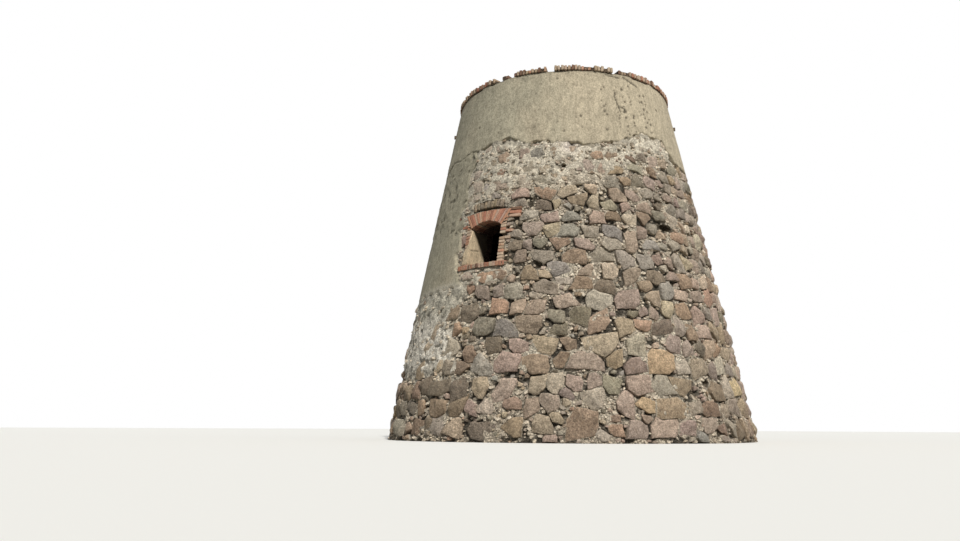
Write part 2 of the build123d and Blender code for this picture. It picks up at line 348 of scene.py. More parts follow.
def emptied(points, cover):
    """Where the joints have lost their mortar, from 0 to 1."""
    return smooth(layered(points, 0.22, 27, 2), 0.06, 0.30) * (1 - 0.85 * cover)


def bed_out(bearing, level):
    """How far the mortar's surface stands out of the wall's plain face."""
    points = place(bearing, level)
    lime = limed(bearing, level, points)
    cover = np.maximum(washed(bearing, level, points), lime)
    rough = 0.012 * noise(points, 0.30, 21) + 0.015 * noise(points, 0.15, 22)
    rough = rough + 0.013 * noise(points, 0.09, 23)
    whole = 0.85 * lime * smooth(level, 2.7, 3.0)
    holes = smooth(layered(points, 0.11, 28, 2), 0.30, 0.55) * cover * (1 - whole)
    under = hill(level, render_edge(bearing), 0.10) * (2.4 * smooth(noise(points, 0.2, 24), -0.3, 0.3) - 0.7)
    out = blended(BED_OUT, 0.012, cover) + rough - 0.020 * under - 0.045 * holes
    return blended(out - 0.040 * emptied(points, cover), -0.006, coated(bearing, level))


def bed_colour(bearing, level, points):
    """The mortar's colour at points of the wall, with painted shade where it lies deep."""
    pale, grey, warm = colour(234, 223, 203), colour(220, 213, 196), colour(224, 208, 187)
    seen = from_camera(bearing)
    cover = washed(bearing, level, points)
    lime = limed(bearing, level, points)[..., None]
    patches = smooth(layered(points, 0.9, 41), -0.5, 0.7)
    left = smooth(-seen, 26, 55)
    low = (1 - smooth(level, 0.2, 1.4))[..., None]
    spot = hill(seen, 2.5, 3.5) * hill(level, 6.52, 0.16)
    body = blended(pale, warm, 0.6 * patches[..., None])
    body = blended(body, grey, 0.55 * cover[..., None])
    body = blended(body, grey, 0.6 * left[..., None])
    beside_coat = smooth(-seen, 22, 42) * smooth(level, 3.4, 4.4)
    body = body * (1 - 0.06 * cover - 0.20 * cover * beside_coat)[..., None]
    body = body * (1 - 0.5 * low) + warm * 0.43 * low
    body = blended(body, colour(214, 203, 193), spot[..., None])
    white = blended(colour(240, 233, 219), colour(204, 198, 182), smooth(level, 2.5, 2.9)[..., None])
    # Painted shade: the mortar is painted darker the deeper it lies, and lighter where it stands out.
    depths, tones = [-0.085, -0.060, -0.04, -0.005, 0.02], [0.10, 0.28, 0.85, 1.08, 1.18]
    depth_shade = np.interp(bed_out(bearing, level), depths, tones)
    tone = depth_shade * (1 + 0.14 * noise(points, 0.11, 42) + 0.16 * noise(points, 0.25, 43))
    return blended(body, white, lime) * tone[..., None]


def coat_colour(bearing, level, points):
    """The render's colour at points of the wall, with painted light and shade in it."""
    upright = points * np.array([1, 1, 0.25])
    streaks = noise(upright, 0.10, 61) + 0.8 * noise(upright, 0.3, 62)
    seen = from_camera(bearing)
    tone = 1 + 0.060 * streaks + 0.07 * layered(points, 0.8, 63) + 0.05 * noise(points, 0.12, 64)
    # Painted light and shade: lighter on the side towards the sun, darker on the side away from it, and
    # darker in a band just under the crown, where its shadow falls.
    tone = tone + 0.05 * smooth(seen, 15, 45) - 0.05 * smooth(-seen, 10, 40)
    tone = tone * (1 - 0.14 * hill(level, HEAD_LEVEL, 0.09))
    stain = smooth(0.6 * layered(upright, 0.5, 65) - seen / 60, -0.2, 1.0)[..., None]
    return blended(colour(184, 173, 151), colour(174, 168, 148), stain) * tone[..., None]


# Meshes


def linked(name, data):
    """A new object of the scene."""
    made = bpy.data.objects.new(name, data)
    bpy.context.scene.collection.objects.link(made)
    return made


class Mesh:
    """Points with their values, and faces with their materials, gathered to make one piece."""

    def __init__(self):
        self.count = 0
        self.points = []
        self.tints = []
        self.smears = []
        self.quads = []
        self.triangles = []
        self.ends = []

    def add(self, points, tint, smear=0.0, quads=None, triangles=None, ends=(), material=0):
        """Adds points with a tint and a mortar smear each, and faces of four, three or many corners."""
        points = np.asarray(points, float).reshape(-1, 3)
        self.points.append(points)
        self.tints.append(np.broadcast_to(np.asarray(tint, float), (len(points), 3)))
        self.smears.append(np.broadcast_to(np.asarray(smear, float), (len(points),)))
        for faces, store in ((quads, self.quads), (triangles, self.triangles)):
            if faces is not None and len(faces):
                faces = np.asarray(faces, np.int64)
                store.append(np.hstack([faces + self.count, np.full((len(faces), 1), material)]))
        self.ends += [(np.asarray(end) + self.count, material) for end in ends]
        self.count += len(points)

    def build(self, name, materials, sharp):
        """The piece as a Blender object, smooth where it bends less than an angle."""
        quads = np.vstack(self.quads) if self.quads else np.zeros((0, 5), np.int64)
        triangles = np.vstack(self.triangles) if self.triangles else np.zeros((0, 4), np.int64)
        ends = [end for end, _ in self.ends]
        corners = np.concatenate([quads[:, :4].ravel(), triangles[:, :3].ravel(), *ends])
        sizes = np.array([4] * len(quads) + [3] * len(triangles) + [len(end) for end in ends], np.int32)
        chosen = np.concatenate([quads[:, 4], triangles[:, 3], [material for _, material in self.ends]])
        mesh = bpy.data.meshes.new(name)
        mesh.vertices.add(self.count)
        mesh.vertices.foreach_set("co", np.vstack(self.points).ravel())
        mesh.loops.add(len(corners))
        mesh.loops.foreach_set("vertex_index", corners.astype(np.int32))
        mesh.polygons.add(len(sizes))
        mesh.polygons.foreach_set("loop_start", (np.cumsum(sizes) - sizes).astype(np.int32))
        mesh.polygons.foreach_set("loop_total", sizes)
        mesh.polygons.foreach_set("material_index", chosen.astype(np.int32))
        mesh.update(calc_edges=True)
        set_values(mesh, np.vstack(self.tints), np.concatenate(self.smears))
        mesh.validate()
        for material in materials:
            mesh.materials.append(material)
        mesh.shade_smooth()
        mesh.set_sharp_from_angle(angle=math.radians(sharp))
        return linked(name, mesh)


def set_values(mesh, tints, smears):
    """Stores each point's tint and mortar smear on a mesh."""
    tint = mesh.color_attributes.new("tint", "FLOAT_COLOR", "POINT")
    tint.data.foreach_set("color", np.hstack([tints, np.ones((len(tints), 1))]).ravel())
    smear = mesh.attributes.new("smear", "FLOAT", "POINT")
    smear.data.foreach_set("value", smears)


def hand_over(piece, slot, *nodes):
    """Lets a piece stand for its nodes on the tower's one body."""
    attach(piece, "root")
    if nodes:
        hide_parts(*nodes)


def quads_between(starts, count, closed):
    """The faces between rows of points, from each row's first point; closed rows end where they start."""
    low, high = starts[:-1, None], starts[1:, None]
    here = np.arange(count if closed else count - 1)
    after = (here + 1) % count
    return np.stack([low + here, low + after, high + after, high + here], axis=-1).reshape(-1, 4)


def ring_quads(rings, count, closed=True):
    """The faces between rings of points that follow each other."""
    return quads_between(np.arange(rings) * count, count, closed)


def add_sweep(shape, points, tint, closed=False, smear=0.0):
    """A closed form from points[row, station], with the rows in a loop from the outer foot upwards."""
    rows, stations = points.shape[:2]
    smear = np.broadcast_to(smear, (rows, stations)).ravel()
    tint = np.broadcast_to(tint, points.shape).reshape(-1, 3)
    starts = np.arange(rows) * stations
    quads = quads_between(np.append(starts, 0), stations, closed)
    ends = [] if closed else [starts, starts[::-1] + stations - 1]
    shape.add(points, tint, smear, quads, None, ends)


def add_sheet(shape, front, back, tint):
    """A closed sheet between two grids of points that run to the right and upwards."""
    rows, columns = front.shape[:2]
    quads = ring_quads(rows, columns, closed=False)
    tint = tint.reshape(-1, 3)
    shape.add(front, tint, 0.0, quads)
    shape.add(back, tint, 0.0, quads[:, ::-1])
    border = np.concatenate([
        np.arange(columns), np.arange(2, rows + 1) * columns - 1,
        (rows - 1) * columns + np.arange(columns - 1)[::-1], np.arange(rows - 2, 0, -1) * columns,
    ])
    after = np.roll(border, -1)
    other = rows * columns
    shape.quads.append(np.stack([after, border, border + other, after + other, 0 * border], axis=1))


def block_plan():
    """The corners and faces of a block whose edges and corners are taken off."""
    corners = np.array(list(itertools.product((-1, 1), repeat=3)))
    signs = np.repeat(corners, 3, axis=0)
    flags = np.tile(np.arange(3), 8)
    unit = np.where(np.arange(3) == flags[:, None], signs, signs * 0.7)
    quads, triangles = [], []
    for normal in itertools.product((-1, 0, 1), repeat=3):
        axes = [k for k in range(3) if normal[k]]
        if not axes:
            continue
        held = [v for v in range(24) if flags[v] in axes and all(signs[v][k] == normal[k] for k in axes)]
        first = np.cross(normal, (0.31, 0.47, 0.83))
        second = np.cross(normal, first)
        middle = unit[held].mean(axis=0)
        held.sort(key=lambda v: math.atan2((unit[v] - middle) @ second, (unit[v] - middle) @ first))
        (triangles if len(axes) == 3 else quads).append(held)
    return signs, flags, np.array(quads), np.array(triangles)


BLOCK_SIGNS, BLOCK_FLAGS, BLOCK_QUADS, BLOCK_TRIANGLES = block_plan()


def add_block(shape, corners, bevel, tint, smear=0.0, material=0, jitter=0.0):
    """A block with its edges taken off, from its corners[length, width, height]."""
    corners = np.asarray(corners, float) + RNG.normal(0, 1, (2, 2, 2, 3)) * jitter
    axes = [(corners.take(1, k) - corners.take(0, k)).reshape(-1, 3).mean(axis=0) for k in range(3)]
    lengths = np.array([np.linalg.norm(axis) for axis in axes])
    keep = np.where(np.arange(3) == BLOCK_FLAGS[:, None], 1, 1 - 2 * bevel / np.maximum(lengths, 3 * bevel))
    share = (1 + BLOCK_SIGNS * keep) / 2
    points = 0
    for spot in itertools.product((0, 1), repeat=3):
        weight = np.prod([share[:, k] if end else 1 - share[:, k] for k, end in enumerate(spot)], axis=0)
        points = points + weight[:, None] * corners[spot]
    turned = np.dot(np.cross(axes[0], axes[1]), axes[2]) < 0
    quads = BLOCK_QUADS[:, ::-1] if turned else BLOCK_QUADS
    triangles = BLOCK_TRIANGLES[:, ::-1] if turned else BLOCK_TRIANGLES
    shape.add(points, tint, smear, quads, triangles, (), material)


# Where the stones lie

# The plan of the wall's face in cells, upwards and round the tower
MAP_CELL = 0.02
MAP_COLUMNS = 1440
MAP_ROWS = int(7.2 / MAP_CELL)

# Kinds of stone, the straight sides of each one, the joints between them, and the steps in which they grow
LARGE, MEDIUM, SMALL = 0, 1, 2
SIDES = 6
STONE_GAP = (0.005, 0.024)
NEIGHBOURS = 14
GROWTH = np.linspace(0.60, 1.08, 15)

# Where a stone's row holds its half height, its colour and its kind
HALF_HEIGHT, TINT, KIND = 3, slice(4, 7), 7

# Smaller stones: tries, smallest and largest height, the share of room that each one needs, and kind
SCATTERED = [(5000, 0.14, 0.25, 0.93, MEDIUM), (9000, 0.07, 0.12, 0.95, SMALL)]

# How far stones keep off the brickwork of the openings
OPENING_MARGIN = 0.012


class Stones:
    """Stones of the wall's face: place, half sizes, colour and kind in rows, and the sides of each one."""

    def __init__(self):
        self.rows = []
        self.angles = []
        self.reaches = []

    def add(self, bearing, level, half_width, half_height, tint, kind, sides):
        """Adds one stone, with its sides' angles and reaches."""
        self.rows.append((bearing % FULL_TURN, level, half_width, half_height, *tint, kind))
        self.angles.append(sides[0])
        self.reaches.append(sides[1])


def cut_sides(half_width, half_height, turn):
    """The straight sides of a split stone: a skewed box with some of its corners cut off."""
    flats = np.arange(4) + RNG.normal(0, 0.11, 4)
    cuts = RNG.permutation(4)[: SIDES - 4] + 0.5 + RNG.normal(0, 0.16, SIDES - 4)
    angles = np.concatenate([flats, cuts]) * math.pi / 2
    box = np.abs(np.cos(angles)) * half_width + np.abs(np.sin(angles)) * half_height
    box[4:] *= RNG.uniform(0.58, 0.88, SIDES - 4)
    order = np.argsort(angles)
    return angles[order] + turn, (box * RNG.uniform(0.88, 1.02, SIDES))[order]


def rays_to_corners(count, angles, reaches):
    """Even directions round a stone, with the nearest ones turned to its corners."""
    after, far = np.roll(angles, -1), np.roll(reaches, -1)
    x = reaches * np.sin(after) - far * np.sin(angles)
    y = far * np.cos(angles) - reaches * np.cos(after)
    rays = (np.arange(count) + RNG.uniform(0, 1)) / count * FULL_TURN
    for corner in np.arctan2(y, x):
        away = wrapped(corner - rays)
        nearest = np.argmin(np.abs(away))
        rays[nearest] += away[nearest]
    return rays


def reach_of(x, y, angles, reaches):
    """1 on the outline that straight sides make, less inside it and more outside."""
    return ((x[..., None] * np.cos(angles) + y[..., None] * np.sin(angles)) / reaches).max(axis=-1)


class Map:
    """A plan of the wall's face that remembers where it is taken."""

    def __init__(self, taken=None):
        self.taken = np.zeros((MAP_ROWS, MAP_COLUMNS), bool) if taken is None else taken.copy()

    def window(self, bearing, level, reach):
        """The cells round a place, with their offsets from it along the wall and upwards."""
        radius = float(outer_radius(level))
        rows = np.arange(int((level - reach) / MAP_CELL), int((level + reach) / MAP_CELL) + 1)
        rows = rows[(rows >= 0) & (rows < MAP_ROWS)]
        half = reach / radius / FULL_TURN * MAP_COLUMNS
        middle = bearing / FULL_TURN * MAP_COLUMNS
        columns = np.arange(int(middle - half), int(middle + half) + 1)
        along = (columns + 0.5 - middle) / MAP_COLUMNS * FULL_TURN * radius
        up = (rows + 0.5) * MAP_CELL - level
        along, up = np.broadcast_arrays(along[None, :], up[:, None])
        return np.ix_(rows, columns % MAP_COLUMNS), along, up

    def under(self, bearing, level, reach, sides):
        """The cells that a stone covers."""
        cells, along, up = self.window(bearing, level, reach)
        return cells, reach_of(along, up, *sides) < 1

    def free(self, *stone):
        """The share of a stone's cells that nothing has taken."""
        cells, inside = self.under(*stone)
        total = inside.sum()
        return 1 - (self.taken[cells] & inside).sum() / total if total else 0.0

    def take(self, *stone):
        """Marks the cells that a stone covers."""
        cells, inside = self.under(*stone)
        self.taken[cells] |= inside

    def take_box(self, bearing, x0, x1, low, high, margin):
        """Marks a rectangle that is measured along the wall from a bearing."""
        cells, along, up = self.window(bearing, (low + high) / 2, 1.2)
        across = (along > x0 - margin) & (along < x1 + margin)
        self.taken[cells] |= across & (np.abs(up) < (high - low) / 2 + margin)

    def at(self, bearing, level):
        """Whether places are taken; below the ground they are."""
        rows = np.floor(level / MAP_CELL).astype(int)
        columns = np.floor(bearing / FULL_TURN * MAP_COLUMNS).astype(int) % MAP_COLUMNS
        return self.taken[np.clip(rows, 0, MAP_ROWS - 1), columns] | (level < 0.012)


def opening_outline(opening, camber):
    """The outline of the brickwork round an opening, as half widths and levels from the foot up."""
    low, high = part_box(f"{opening}_right_jamb")
    wide = max(abs(low.x), abs(high.x))
    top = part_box(f"{opening}_arch")[1]
    head = [(top.x, top.z - camber), (top.x / 2, top.z - camber / 4), (0, top.z)]
    return [(wide, low.z), (wide, high.z), *head]


# The walls with openings: their lift, and whether they face backwards
FRONT = ("middle", False)
BACK = ("middle", True)
BACK_FOOT = ("lower", True)

# The openings: wall, bricks in the wall's depth, camber and rise of the arch, and its count of bricks
OPENINGS = {
    "front_window": (FRONT, 4, 0.025, 0.13, 17),
    "back_window": (BACK, 4, 0.025, 0.13, 17),
    "doorway": (BACK_FOOT, 5, 0.04, 0.15, 23),
}
OUTLINES = {
    (lift, "back" if turned else "front"): opening_outline(opening, camber)
    for opening, ((lift, turned), _, camber, _, _) in OPENINGS.items()
}


def take_openings(wall_map):
    """Marks the brickwork of the openings and the hollows as taken, with a margin."""
    for (_, direction), outline in OUTLINES.items():
        bearing = DIRECTIONS.index(direction) * SEGMENT
        foot, head = outline[0][1], outline[-1][1]
        cells, along, up = wall_map.window(bearing, (foot + head) / 2, 1.6)
        level = up + (foot + head) / 2
        half = np.interp(level, [level for _, level in outline], [half for half, _ in outline])
        half = np.where(level > outline[2][1], outline[2][0], half)
        beside = (level > foot - 0.03) & (level < head + OPENING_MARGIN)
        wall_map.taken[cells] |= (np.abs(along) < half + OPENING_MARGIN) & beside
    for name in ("front_window_sill", "back_window_sill", "front_window_relieving_arch"):
        low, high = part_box(name)
        bearing = 0.0 if name.startswith("front") else math.pi
        wall_map.take_box(bearing, low.x, high.x, low.z, high.z, OPENING_MARGIN)
    for x0, x1, level in STRAY_BRICKS:
        wall_map.take_box(0.0, x0, x1, level - COURSE / 2, level + COURSE / 2, 0.0)
    for degrees, level, width, height, _ in HOLLOWS:
        cells, along, up = wall_map.window(math.radians(degrees) % FULL_TURN, level, 0.3)
        wall_map.taken[cells] |= (along / width) ** 2 + (up / height) ** 2 < 0.28


def stone_tint(bearing, level):
    """A colour for an unlisted stone: browner at the lower left, paler and pinker at the right."""
    seen = from_camera(bearing)
    weights = LOWER_LEFT if -90 < seen < -30 and level < 3 else RIGHT if 38 < seen < 90 else ANYWHERE
    return varied(STONE[COMMON[RNG.choice(len(COMMON), p=np.array(weights) / sum(weights))]])


def varied(tint, spread=0.24):
    """A colour with some variation of its own."""
    return np.clip(tint * RNG.uniform(1 - spread, 1 + spread) * RNG.uniform(0.97, 1.03, 3), 0, 1)


def lay(stones, wall_map, bearing, level, half_width, half_height, turn, kind, room, name=None):
    """Lays one stone where there is enough room for it, and says whether it did."""
    sides = cut_sides(half_width, half_height, turn)
    reach = 1.4 * max(half_width, half_height)
    if wall_map.free(bearing, level, reach, sides) < room:
        return False
    tint = varied(STONE[name], 0.09) if name else stone_tint(bearing, level)
    stones.add(bearing, level, half_width, half_height, tint, kind, sides)
    wall_map.take(bearing, level, reach, sides)
    return True


def lay_courses(stones, wall_map):
    """Large stones round the tower, course by course, where the listed ones leave room."""
    for index, level in enumerate(COURSES):
        above = COURSES[index + 1] if index + 1 < len(COURSES) else level + 0.32
        tall = (above - level) * 0.47
        bearing = RNG.uniform(0, 0.3)
        end = bearing + FULL_TURN
        while bearing < end:
            radius = float(outer_radius(level))
            half_width = RNG.uniform(0.62, 1.55) * tall
            half_height = tall * RNG.uniform(0.62, 1.12)
            spot = (bearing + half_width / radius, level + RNG.normal(0, 0.04))
            turn = RNG.normal(0, 0.15)
            if lay(stones, wall_map, *spot, half_width, half_height, turn, LARGE, 0.91):
                bearing += (2 * half_width + RNG.uniform(0.0, 0.05)) / radius
            else:
                bearing += 0.05 / radius


def scatter(stones, wall_map, tries, smallest, largest, room, kind):
    """Smaller stones at random in the places that are left."""
    for _ in range(tries):
        half_height = RNG.uniform(smallest, largest) / 2
        half_width = half_height * RNG.uniform(0.9, 2.1)
        spot = (RNG.uniform(0, FULL_TURN), RNG.uniform(0.04, 6.9))
        lay(stones, wall_map, *spot, half_width, half_height, RNG.normal(0, 0.3), kind, room)


def grow(stones, table, index, rays, joint, blocked):
    """The outline of one stone, grown until it meets its neighbours, as directions and distances."""
    centre = table[index]
    angles = rays_to_corners(rays, stones.angles[index], stones.reaches[index])
    along = wrapped(table[:, 0] - centre[0]) * float(outer_radius(centre[1]))
    up = table[:, 1] - centre[1]
    near = np.argsort(along**2 + up**2)[1 : NEIGHBOURS + 1]
    own = 1 / reach_of(np.cos(angles), np.sin(angles), stones.angles[index], stones.reaches[index])
    x, y = np.outer(GROWTH, own * np.cos(angles)), np.outer(GROWTH, own * np.sin(angles))
    sides = [np.array([values[k] for k in near]) for values in (stones.angles, stones.reaches)]
    others = reach_of(x[..., None] - along[near], y[..., None] - up[near], *sides).min(axis=-1)
    stopped = (others < GROWTH[:, None]) | blocked.at(centre[0] + x / outer_radius(centre[1]), centre[1] + y)
    first = np.where(stopped.any(axis=0), stopped.argmax(axis=0), len(GROWTH) - 1)
    reach = np.maximum(GROWTH[first] * own - joint, 0.35 * own)
    return angles, reach * (1 + RNG.normal(0, 0.022, rays))


def lay_wall():
    """All the stones of the outer face, their grown outlines, and the plan with them marked."""
    wall_map = Map()
    take_openings(wall_map)
    blocked = Map(wall_map.taken)
    stones = Stones()
    for seen, level, width, height, name in LANDMARKS:
        bearing = (math.radians(seen) + CAMERA_BEARING) % FULL_TURN
        lay(stones, wall_map, bearing, level, width / 2, height / 2, RNG.normal(0, 0.07), LARGE, 0.0, name)
    lay_courses(stones, wall_map)
    for how in SCATTERED:
        scatter(stones, wall_map, *how)
    table = np.array(stones.rows, float)
    grown = Map(blocked.taken)
    outlines = []
    for index, stone in enumerate(table):
        rays = RINGS[int(stone[KIND])][0]
        angles, reach = grow(stones, table, index, rays, RNG.uniform(*STONE_GAP), blocked)
        outlines.append((angles, reach))
        cells, along, up = grown.window(stone[0], stone[1], float(reach.max()))
        edge = np.interp(np.arctan2(up, along), angles, reach, period=FULL_TURN)
        grown.taken[cells] |= np.hypot(along, up) < edge
    return table, outlines, grown


# Stones as meshes

# The rays and rings of each kind of stone: each ring's share of its outline and of its height
RINGS = {
    LARGE: (22, [(1.02, -1), (1.0, 0.45), (0.95, 0.86), (0.82, 0.98), (0.48, 1.0)]),
    MEDIUM: (14, [(1.02, -1), (1.0, 0.45), (0.91, 0.90), (0.60, 1.0)]),
    SMALL: (10, [(1.02, -1), (0.98, 0.45), (0.80, 0.95)]),
}

# Chips in the joints: corners, tries, top level, length against height, share and sizes of the large ones,
# and sizes of the small ones
CHIP_CORNERS = 5
CHIP_TRIES = 60000
CHIP_TOP = 6.7
CHIP_SHAPE = 1.4
LARGE_CHIPS = 0.4
LARGE_CHIP = (0.036, 0.062)
SMALL_CHIP = (0.018, 0.036)

# How deep a stone's skirt goes into the mortar
SKIRT = 0.09


def broken_face(x, y, proud):
    """The height of a stone's broken face, as the lowest of a few tilted planes."""
    lean = RNG.normal(0, 0.10, 2)
    height = np.full_like(x, proud * 1.2)
    for _ in range(4):
        angle, slope = RNG.uniform(0, FULL_TURN), RNG.uniform(0.12, 0.60)
        plane = proud * RNG.uniform(0.95, 1.35) + slope * (x * math.cos(angle) + y * math.sin(angle))
        height = np.minimum(height, plane)
    return np.clip(height + lean[0] * x + lean[1] * y, 0.25 * proud, 1.4 * proud)


def add_stone(shape, stone, angles, reach, proud, smear, surface):
    """One stone as a faceted form in the mortar; surface gives points from offsets and a distance out."""
    rays, rings = RINGS[int(stone[KIND])]
    xs, ys, rises = [], [], []
    for scale, rise in rings:
        ring = reach * scale * (1 + RNG.normal(0, 0.012, rays))
        xs.append(ring * np.cos(angles))
        ys.append(ring * np.sin(angles))
        rises.append(np.full(rays, rise))
    x, y, rise = (np.append(np.concatenate(values), end) for values, end in ((xs, 0), (ys, 0), (rises, 1)))
    out = np.where(rise < 0, -SKIRT, rise * broken_face(x, y, proud))
    points = surface(x, y, out)
    if stone[KIND] != SMALL:
        points = surface(x, y, out + 0.006 * noise(points, 0.075, 71) * (rise > 0.5))
    # Painted shade and light: each stone is darker towards its skirt in the joint, with a painted highlight
    # on its upper edge and painted shade on its lower edge.
    upper = np.clip(y / stone[HALF_HEIGHT], -1, 1) * np.interp(rise, [-1, 0.45, 0.86, 1], [0, 1, 1, 0.3])
    shade = np.interp(rise, [-1, 0.45, 1], [0.18, 0.92, 1.0]) * (1 + 0.26 * upper)
    last = (len(rings) - 1) * rays
    ring = np.arange(rays)
    fan = np.stack([last + ring, last + (ring + 1) % rays, np.full(rays, last + rays)], axis=1)
    tint = np.outer(shade, stone[TINT])
    limy = smear + (0.10 + smear) * (1 - np.maximum(rise, 0))
    shape.add(points, tint, limy, ring_quads(len(rings), rays), fan, (), 1)


def add_chip(shape, size, tint, surface):
    """A small flat chip of stone pressed into the mortar."""
    angles = np.arange(CHIP_CORNERS) / CHIP_CORNERS * FULL_TURN + RNG.uniform(0, 1)
    reach = size * RNG.uniform(0.7, 1.2, CHIP_CORNERS)
    stretch = RNG.uniform(1.0, 1.9)
    turn = RNG.normal(0, 0.6)
    lift = RNG.uniform(0.012, 0.040)
    x0 = reach * np.cos(angles) * stretch
    y0 = reach * np.sin(angles)
    x = x0 * math.cos(turn) - y0 * math.sin(turn)
    y = x0 * math.sin(turn) + y0 * math.cos(turn)
    tilt = RNG.normal(0, 0.25, 2)
    rings = []
    for scale, out in ((1.0, -0.03), (0.74, lift)):
        lean = (x * tilt[0] + y * tilt[1]) * scale if out > 0 else 0.0
        rings.append(surface(x * scale, y * scale, out + lean))
    fan = [(CHIP_CORNERS, CHIP_CORNERS + k, CHIP_CORNERS + k + 1) for k in range(1, CHIP_CORNERS - 1)]
    shape.add(np.vstack(rings), tint, 0.3, ring_quads(2, CHIP_CORNERS), fan, (), 1)


def on_wall(bearing, level, base):
    """The surface under a stone of the outer face."""
    radius = float(outer_radius(level))
    return lambda x, y, out: place(bearing + x / radius, np.maximum(level + y, GROUND), base + out)


def on_inner_wall(bearing, level, lift):
    """The surface under a stone of the room side of a lift."""
    thick = THICKNESS[lift]
    radius = float(outer_radius(level)) - thick
    return lambda x, y, out: place(bearing - x / radius, np.clip(level + y, *LEVELS[lift]), -thick - out)


def on_head(bearing, radius):
    """The surface under a stone that lies on the wall's head."""
    return lambda x, y, out: around(bearing + x / radius, radius - y, HEAD_LEVEL - 0.01 + out)


def lay_chips(wall_map):
    """The small chips that fill the joints: bearing, level, size and colour."""
    bearings = RNG.uniform(0, FULL_TURN, CHIP_TRIES)
    levels = CHIP_TOP * RNG.uniform(0.004, 1, CHIP_TRIES) ** 1.1
    large = RNG.uniform(0, 1, CHIP_TRIES) < LARGE_CHIPS
    sizes = np.where(large, RNG.uniform(*LARGE_CHIP, CHIP_TRIES), RNG.uniform(*SMALL_CHIP, CHIP_TRIES))
    spots = place(bearings, levels)
    covers = covered(bearings, levels, spots)
    limes = limed(bearings, levels, spots)
    left_out = np.maximum(0.75 * emptied(spots, covers), 0.65 * covers + 0.25 * limes)
    kept = RNG.uniform(0, 1, CHIP_TRIES) > left_out
    chips = []
    for bearing, level, size, lime in zip(bearings[kept], levels[kept], sizes[kept], limes[kept]):
        cells, along, up = wall_map.window(bearing, level, size * CHIP_SHAPE)
        under = (along / CHIP_SHAPE) ** 2 + up**2 < size**2
        if under.any() and (wall_map.taken[cells] & under).sum() <= 0.3 * under.sum():
            tint = stone_tint(bearing, level)
            share = 1.0 if RNG.uniform() < lime else RNG.choice([0.2, 0.85], p=[0.35, 0.65])
            tint = tint + share * (CHIP_TINT - tint)
            chips.append((bearing, level, size, *(tint * RNG.uniform(0.80, 1.25))))
            wall_map.taken[cells] |= under
    return np.array(chips)


# The wall's pieces

# The rows and columns of points of one segment's mortar
BED_ROWS = {
    "lower": np.linspace(GROUND, FIRST_LEVEL, 80),
    "middle": np.linspace(FIRST_LEVEL, SECOND_LEVEL, 88),
    "upper": np.concatenate([np.linspace(SECOND_LEVEL, 7.05, 40), np.linspace(7.2, HEAD_LEVEL, 6)]),
}
BED_COLUMNS = {"lower": 88, "middle": 84, "upper": 76}
INNER_ROWS = 16

# The courses of stones on the room side, and how far they stand out of the mortar there
INNER_COURSE = 0.30
INNER_PROUD = (0.012, 0.035)


def wall_block(lift, direction):
    """The mortar body of one segment: a rough outer face, head and inner face, closed at its ends."""
    foot, head = LEVELS[lift]
    thick = THICKNESS[lift]
    middle = DIRECTIONS.index(direction) * SEGMENT
    bearings = middle + np.linspace(-SEGMENT / 2, SEGMENT / 2, BED_COLUMNS[lift])
    b, z = np.meshgrid(bearings, BED_ROWS[lift])
    outer = place(b, z, bed_out(b, z))
    outer_tint = bed_colour(b, z, outer)
    head_rows = 8 if lift == "upper" else 2
    b, share = np.meshgrid(bearings, np.linspace(0, 1, head_rows + 2)[1:-1])
    top = place(b, np.full_like(b, head), -share * thick)
    if lift == "upper":
        behind = smooth(share * thick, 0.18, 0.22)
        top[..., 2] += behind * (0.018 * layered(top, 0.25, 53) - 0.012)
    b, z = np.meshgrid(bearings, np.linspace(head, foot, INNER_ROWS))
    inner = place(b, z, -thick)
    inner = place(b, z, -thick - 0.016 * noise(inner, 0.28, 51) - 0.010 * noise(inner, 0.12, 52))
    b, share = np.meshgrid(bearings, [0.66, 0.33])
    bottom = place(b, np.full_like(b, foot), -share * thick)
    points = np.vstack([outer, top, inner, bottom])
    tints = np.broadcast_to(colour(166, 157, 138), points.shape).copy()
    tints[: len(outer)] = outer_tint
    smears = np.ones(points.shape[:2])
    smears[: len(outer)] = covered(*np.meshgrid(bearings, BED_ROWS[lift]), outer)
    shape = Mesh()
    add_sweep(shape, points, tints, smear=smears)
    return shape


def new_cutter(points, faces):
    """A closed form that isn't part of the scene yet."""
    mesh = bpy.data.meshes.new("cutter")
    mesh.from_pydata([tuple(point) for point in points], [], faces)
    mesh.update()
    return bpy.data.objects.new("cutter", mesh)


def prism_cutter(outline, turned, near, far):
    """A closed block with an outline in elevation, between two distances in front of the tower's axis."""
    side = -1 if turned else 1
    points = [(side * x, -side * y, z) for y in (near, far) for x, z in outline]
    count = len(outline)
    faces = [[k, (k + 1) % count, (k + 1) % count + count, k + count] for k in range(count)]
    faces += [list(range(count))[::-1], list(range(count, 2 * count))]
    return new_cutter(points, faces)


def hollow_cutter(degrees, level, width, height, depth):
    """The rough space of one fallen stone."""
    bearing = math.radians(degrees)
    count = 12
    angles = np.arange(count) / count * FULL_TURN
    rings = []
    for scale, out in ((0.55, -depth * 0.95), (0.86, -depth * 0.6), (1.0, 0.03), (1.0, 0.15)):
        x = width / 2 * scale * (1 + RNG.normal(0, 0.07, count)) * np.cos(angles)
        y = height / 2 * scale * (1 + RNG.normal(0, 0.07, count)) * np.sin(angles)
        rings.append(place(bearing + x / outer_radius(level), level + y, out + RNG.normal(0, 0.006, count)))
    points = np.vstack([*rings, place(bearing, level, -depth)[None], place(bearing, level, 0.15)[None]])
    last = 4 * count
    faces = [tuple(quad) for quad in ring_quads(4, count)]
    faces += [(last, (k + 1) % count, k) for k in range(count)]
    faces += [(last + 1, last - count + k, last - count + (k + 1) % count) for k in range(count)]
    return new_cutter(points, faces)


